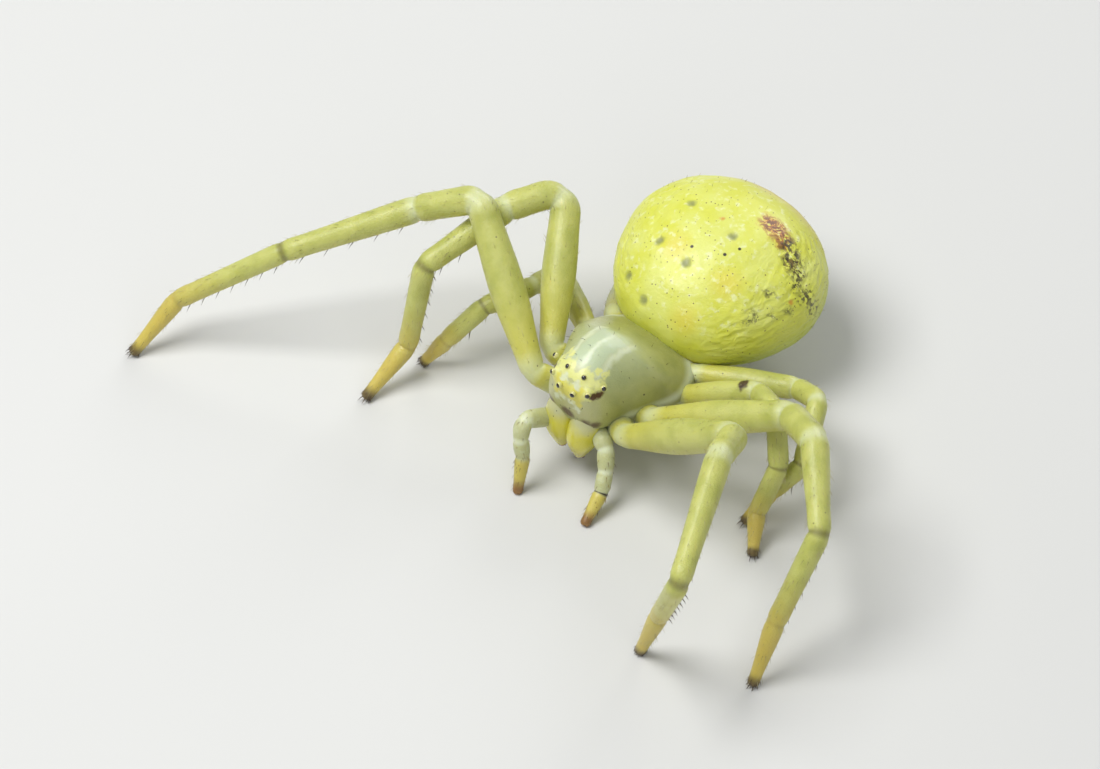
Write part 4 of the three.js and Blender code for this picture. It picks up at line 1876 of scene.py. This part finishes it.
@dataclass
class Leg:
    """One leg: a skin from the hip to the foot, with spines, hairs, a claw tuft and claws."""

    side: Side
    number: int
    build_of: LegBuild
    pose: Sequence[float]
    foot_level: float = 0.12
    hair_length: tuple[float, float] = (0.1, 0.2)
    hair_radius: float = 0.0055
    hair_lean: tuple[float, float] = (0.45, 0.8)
    hair_crowding: float = 0.75
    spine_length: float = 0.26
    spine_radius: float = 0.014
    spine_depth: float = 0.02
    spine_spread: float = 0.6
    spine_lean: float = 0.7
    tuft_count: int = 30
    tuft_length: tuple[float, float] = (0.08, 0.17)
    tuft_radius: float = 0.011
    tuft_depth: float = 0.03
    claw_length: float = 0.2
    claw_radius: float = 0.018
    claw_depth: float = 0.08
    claw_spread: float = 0.7
    unwrap_tip: float = 0.98
    blot_offset: float = 0.4
    blot_height: float = 0.28

    @property
    def name(self) -> str:
        """The leg's name in the names of pieces and nodes."""
        return f"{self.side.word}_{self.number}"

    def joints(self) -> list[Vector]:
        """Gives the joints from the root in the trunk to the tip on the floor.

        Returns:
            The seven joints.
        """
        build = self.build_of
        points = [TRUNK @ self.side.mirrored(at) for at in (build.root, build.hinge)]
        for i in range(4):
            way = self.heading(*self.pose[2 * i : 2 * i + 2])
            points.append(points[-1] + way * build.lengths[i])
        drop = math.degrees(math.asin((points[-1].z - self.foot_level) / build.lengths[4]))
        points.append(points[-1] + self.heading(self.pose[8], -drop) * build.lengths[4])
        return points

    @staticmethod
    def heading(compass: float, rise: float) -> Vector:
        """Gives the direction of a compass heading and a rise, both in degrees."""
        flat, up = math.radians(compass), math.radians(rise)
        return Vector((math.cos(flat) * math.cos(up), math.sin(flat) * math.cos(up), math.sin(up)))

    def knee_top(self) -> Point:
        """Gives the upper point of the femur just before the knee, where a blot can lie.

        Returns:
            The point above the floor.
        """
        limb = self.limb()
        centre, _ = limb.route.at(limb.marks[2] - self.blot_offset)
        return centre.x, centre.y, centre.z + self.blot_height

    def limb(self) -> Limb:
        """Gives the leg's middle line with its girths.

        Returns:
            The limb.
        """
        girth = self.build_of.girth
        points = self.joints()
        route = Route(points, [girth[0], girth[1], *girth[3:]])
        at = route.joints
        stations = [at[0], at[1], (at[1] + at[2]) / 2, *at[2:]]
        side = (points[2] - points[1]).cross(points[4] - points[2]).normalized()
        return Limb(route, stations, girth, side, at)

    def build(
        self, skin: bpy.types.Material, hair: bpy.types.Material, dark: bpy.types.Material
    ) -> None:
        """Builds the leg.

        Args:
            skin: The skin's material.
            hair: The fine hairs' material.
            dark: The material of spines, claws and tuft.
        """
        limb = self.limb()
        nodes = [f"{part}_{self.name}" for part in ("hip", "femur", "shin", "foot")]
        Piece.finish(limb.skin(), f"leg_{self.name}", skin, Slot.LEG, nodes)
        draw = random.Random(100 * self.number + self.side.value)
        self.build_hairs(limb, draw, hair)
        self.build_spines(limb, draw, dark)

    def build_hairs(self, limb: Limb, draw: random.Random, material: bpy.types.Material) -> None:
        """Builds the fine hairs, denser towards the foot.

        Args:
            limb: The leg.
            draw: The seeded source of randomness.
            material: The hairs' material.
        """
        bristles = Bristles()
        at = limb.marks
        for _ in range(self.build_of.hairs):
            distance = lerp(at[1], at[-1], draw.random() ** self.hair_crowding)
            angle = draw.uniform(0, math.tau)
            lean = draw.uniform(*self.hair_lean)
            length = draw.uniform(*self.hair_length)
            bristles.add(limb.bristle(distance, angle, lean, length, self.hair_radius))
        bristles.finish(f"leg_{self.name}_hairs", material, Slot.LEG)

    def build_spines(self, limb: Limb, draw: random.Random, material: bpy.types.Material) -> None:
        """Builds the spines under tibia and metatarsus, the claw tuft and the two claws.

        Args:
            limb: The leg.
            draw: The seeded source of randomness.
            material: Their material.
        """
        bristles = Bristles()
        at = limb.marks
        down = self.lower_side(limb)
        for segment, pairs in zip((3, 4), self.build_of.spine_pairs):
            for i in range(pairs):
                distance = lerp(at[segment], at[segment + 1], (i + 0.7) / (pairs + 0.4))
                for spread in (-self.spine_spread, self.spine_spread):
                    angle = down + spread
                    point, normal, along = limb.on_skin(distance + 0.04 * spread, angle)
                    direction = (normal * self.spine_lean + along).normalized()
                    unwrap = limb.unwrap(distance, angle)
                    root = point - normal * self.spine_depth
                    size = (self.spine_length, self.spine_radius)
                    bristles.add(Bristle(root, direction, *size, unwrap))
        length = limb.route.length
        for _ in range(self.tuft_count):
            angle = draw.uniform(0, math.tau)
            point, normal, along = limb.on_skin(length + draw.uniform(-0.12, 0.04), angle)
            direction = (normal * draw.uniform(0.2, 0.7) + along).normalized()
            size = (draw.uniform(*self.tuft_length), self.tuft_radius)
            root = point - normal * self.tuft_depth
            bristles.add(Bristle(root, direction, *size, (self.unwrap_tip, angle / math.tau)))
        for spread in (-self.claw_spread, self.claw_spread):
            point, normal, along = limb.on_skin(length + 0.05, down + math.pi + spread)
            direction = (along + normal * 0.3).normalized()
            root = point - normal * self.claw_depth
            size = (self.claw_length, self.claw_radius)
            bristles.add(Bristle(root, direction, *size, (self.unwrap_tip, 0.5)))
        bristles.finish(f"leg_{self.name}_spines", material, Slot.FOOT)

    @staticmethod
    def lower_side(limb: Limb) -> float:
        """Gives the angle round the limb's tibia that faces the floor.

        Args:
            limb: The leg.

        Returns:
            The angle.
        """
        distance = (limb.marks[3] + limb.marks[4]) / 2
        angles = [i * math.tau / 36 for i in range(36)]
        return min(angles, key=lambda angle: limb.on_skin(distance, angle)[1].z)


@dataclass(frozen=True)
class Lamp:
    """A square area light that faces the spider.

    Attributes:
        name: The light's name.
        place: Where it hangs, in millimetres.
        size: The side of its square, in millimetres.
        power: Its power in watts.
    """

    name: str
    place: Point
    size: float
    power: float

    def hang(self) -> None:
        """Adds the light to the scene."""
        data = bpy.data.lights.new(self.name, "AREA")
        data.size = self.size * METRES
        data.energy = self.power
        light = bpy.data.objects.new(self.name, data)
        away = Vector(self.place)
        light.matrix_world = Matrix.Translation(away * METRES) @ pointed(away)
        bpy.context.scene.collection.objects.link(light)


@dataclass
class Studio:
    """The floor, the soft lights and the camera at the photograph's viewing angle.

    Attributes:
        azimuth: The camera's angle round the spider from straight ahead, towards its left.
        elevation: Its angle above the floor.
        roll: How far the picture is turned.
        distance: How far away it stands, in millimetres.
        scale: Pixels of the photograph for each millimetre at the spider.
        picture: The photograph's width and height in pixels.
        anchor: The pixel of the floor point under the trunk's own origin.
        sensor: The width of the camera's sensor, in millimetres.
        clips: The nearest and the farthest distance that it sees, in metres.
        floor_half: Half the floor's side.
        floor_tones: The two tones that the floor varies between.
        floor_roughness: The floor's roughness.
        lamps: The area lights.
        sky: The colour of the surround.
        sky_strength: How bright the surround is.
    """

    azimuth: float = 43.46
    elevation: float = 47.32
    roll: float = -1.95
    distance: float = 250.0
    scale: float = 41.823
    picture: tuple[int, int] = (1100, 769)
    anchor: tuple[float, float] = (623.78, 422.46)
    sensor: float = 36.0
    clips: tuple[float, float] = (0.01, 10.0)
    floor_half: float = 160.0
    floor_tones: tuple[Colour, Colour] = ((0.62, 0.62, 0.6), (0.66, 0.66, 0.64))
    floor_roughness: float = 0.8
    lamps: tuple[Lamp, ...] = (
        Lamp("key", (-30.0, -30.0, 95.0), 60.0, 0.1),
        Lamp("fill", (80.0, -50.0, 60.0), 70.0, 0.02),
        Lamp("rim", (-20.0, 90.0, 60.0), 50.0, 0.035),
    )
    sky: Colour = (0.93, 0.96, 1.0)
    sky_strength: float = 0.3

    def build(self) -> None:
        """Builds the whole set."""
        bpy.context.scene.view_settings.view_transform = "Standard"
        self.build_camera()
        self.build_floor()
        self.build_lights()

    def camera_axes(self) -> tuple[Vector, Vector, Vector]:
        """Gives the camera's right, up and back directions.

        Returns:
            The three directions.
        """
        turn, lift = math.radians(self.azimuth), math.radians(self.elevation)
        back = Vector((
            math.cos(lift) * math.sin(turn), -math.cos(lift) * math.cos(turn), math.sin(lift),
        ))
        level = Vector((math.cos(turn), math.sin(turn), 0.0))
        spin = Quaternion(back, math.radians(self.roll))
        return spin @ level, spin @ back.cross(level), back

    def build_camera(self) -> None:
        """Puts the camera where the photograph was taken from."""
        right, up, back = self.camera_axes()
        aside = (self.picture[0] / 2 - self.anchor[0]) / self.scale
        above = (self.anchor[1] - self.picture[1] / 2) / self.scale
        target = Vector((*PLAN_SHIFT, 0.0)) + right * aside + up * above
        data = bpy.data.cameras.new("camera")
        data.sensor_width = self.sensor
        data.lens = self.sensor * self.scale * self.distance / self.picture[0]
        data.clip_start, data.clip_end = self.clips
        camera = bpy.data.objects.new("camera", data)
        turn = Matrix((right, up, back)).transposed().to_4x4()
        camera.matrix_world = Matrix.Translation((target + back * self.distance) * METRES) @ turn
        bpy.context.scene.collection.objects.link(camera)
        bpy.context.scene.camera = camera

    def build_floor(self) -> None:
        """Lays the plain pale floor."""
        bm = bmesh.new()
        bmesh.ops.create_grid(bm, x_segments=1, y_segments=1, size=self.floor_half * METRES)
        mesh = bpy.data.meshes.new("floor")
        bm.to_mesh(mesh)
        bm.free()
        floor = bpy.data.objects.new("floor", mesh)
        bpy.context.scene.collection.objects.link(floor)
        graph = Graph("floor_paper")
        tone = graph.blend(graph.cloud(graph.place(), 0.05), *self.floor_tones)
        inputs = {"Base Color": tone, "Roughness": self.floor_roughness}
        shader = graph.node("ShaderNodeBsdfPrincipled", inputs=inputs)
        graph.node("ShaderNodeOutputMaterial", inputs={0: shader.outputs[0]})
        mesh.materials.append(graph.material)

    def build_lights(self) -> None:
        """Hangs the lights in a pale surround."""
        for lamp in self.lamps:
            lamp.hang()
        world = bpy.data.worlds.new("surround")
        world.use_nodes = True
        background = world.node_tree.nodes["Background"]
        background.inputs["Color"].default_value = (*self.sky, 1.0)
        background.inputs["Strength"].default_value = self.sky_strength
        bpy.context.scene.world = world


def main() -> None:
    """Builds the model piece by piece."""
    logging.basicConfig(level=logging.INFO, format="%(message)s")
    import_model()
    Studio().build()
    Carapace().build()
    EyeSet().build()
    Abdomen().build()
    Underside().build()
    Jaws().build()
    for side, route in PALP_ROUTES.items():
        Palp(side, route).build()
    skin = LegFinish().material()
    fine = BristleFinish(name="hair_fine", root=(0.3, 0.26, 0.1), shaft=(0.55, 0.5, 0.25))
    hair = fine.material()
    dark = BristleFinish().material()
    for (side, number), pose in LEG_POSES.items():
        leg = Leg(side, number, LEG_BUILDS[number], pose)
        own = skin
        if (side, number) == SPOTTED_LEG:
            own = LegFinish(name="leg_skin_spotted", blot=leg.knee_top()).material()
        leg.build(own, hair, dark)


if __name__ == "__main__":
    main()
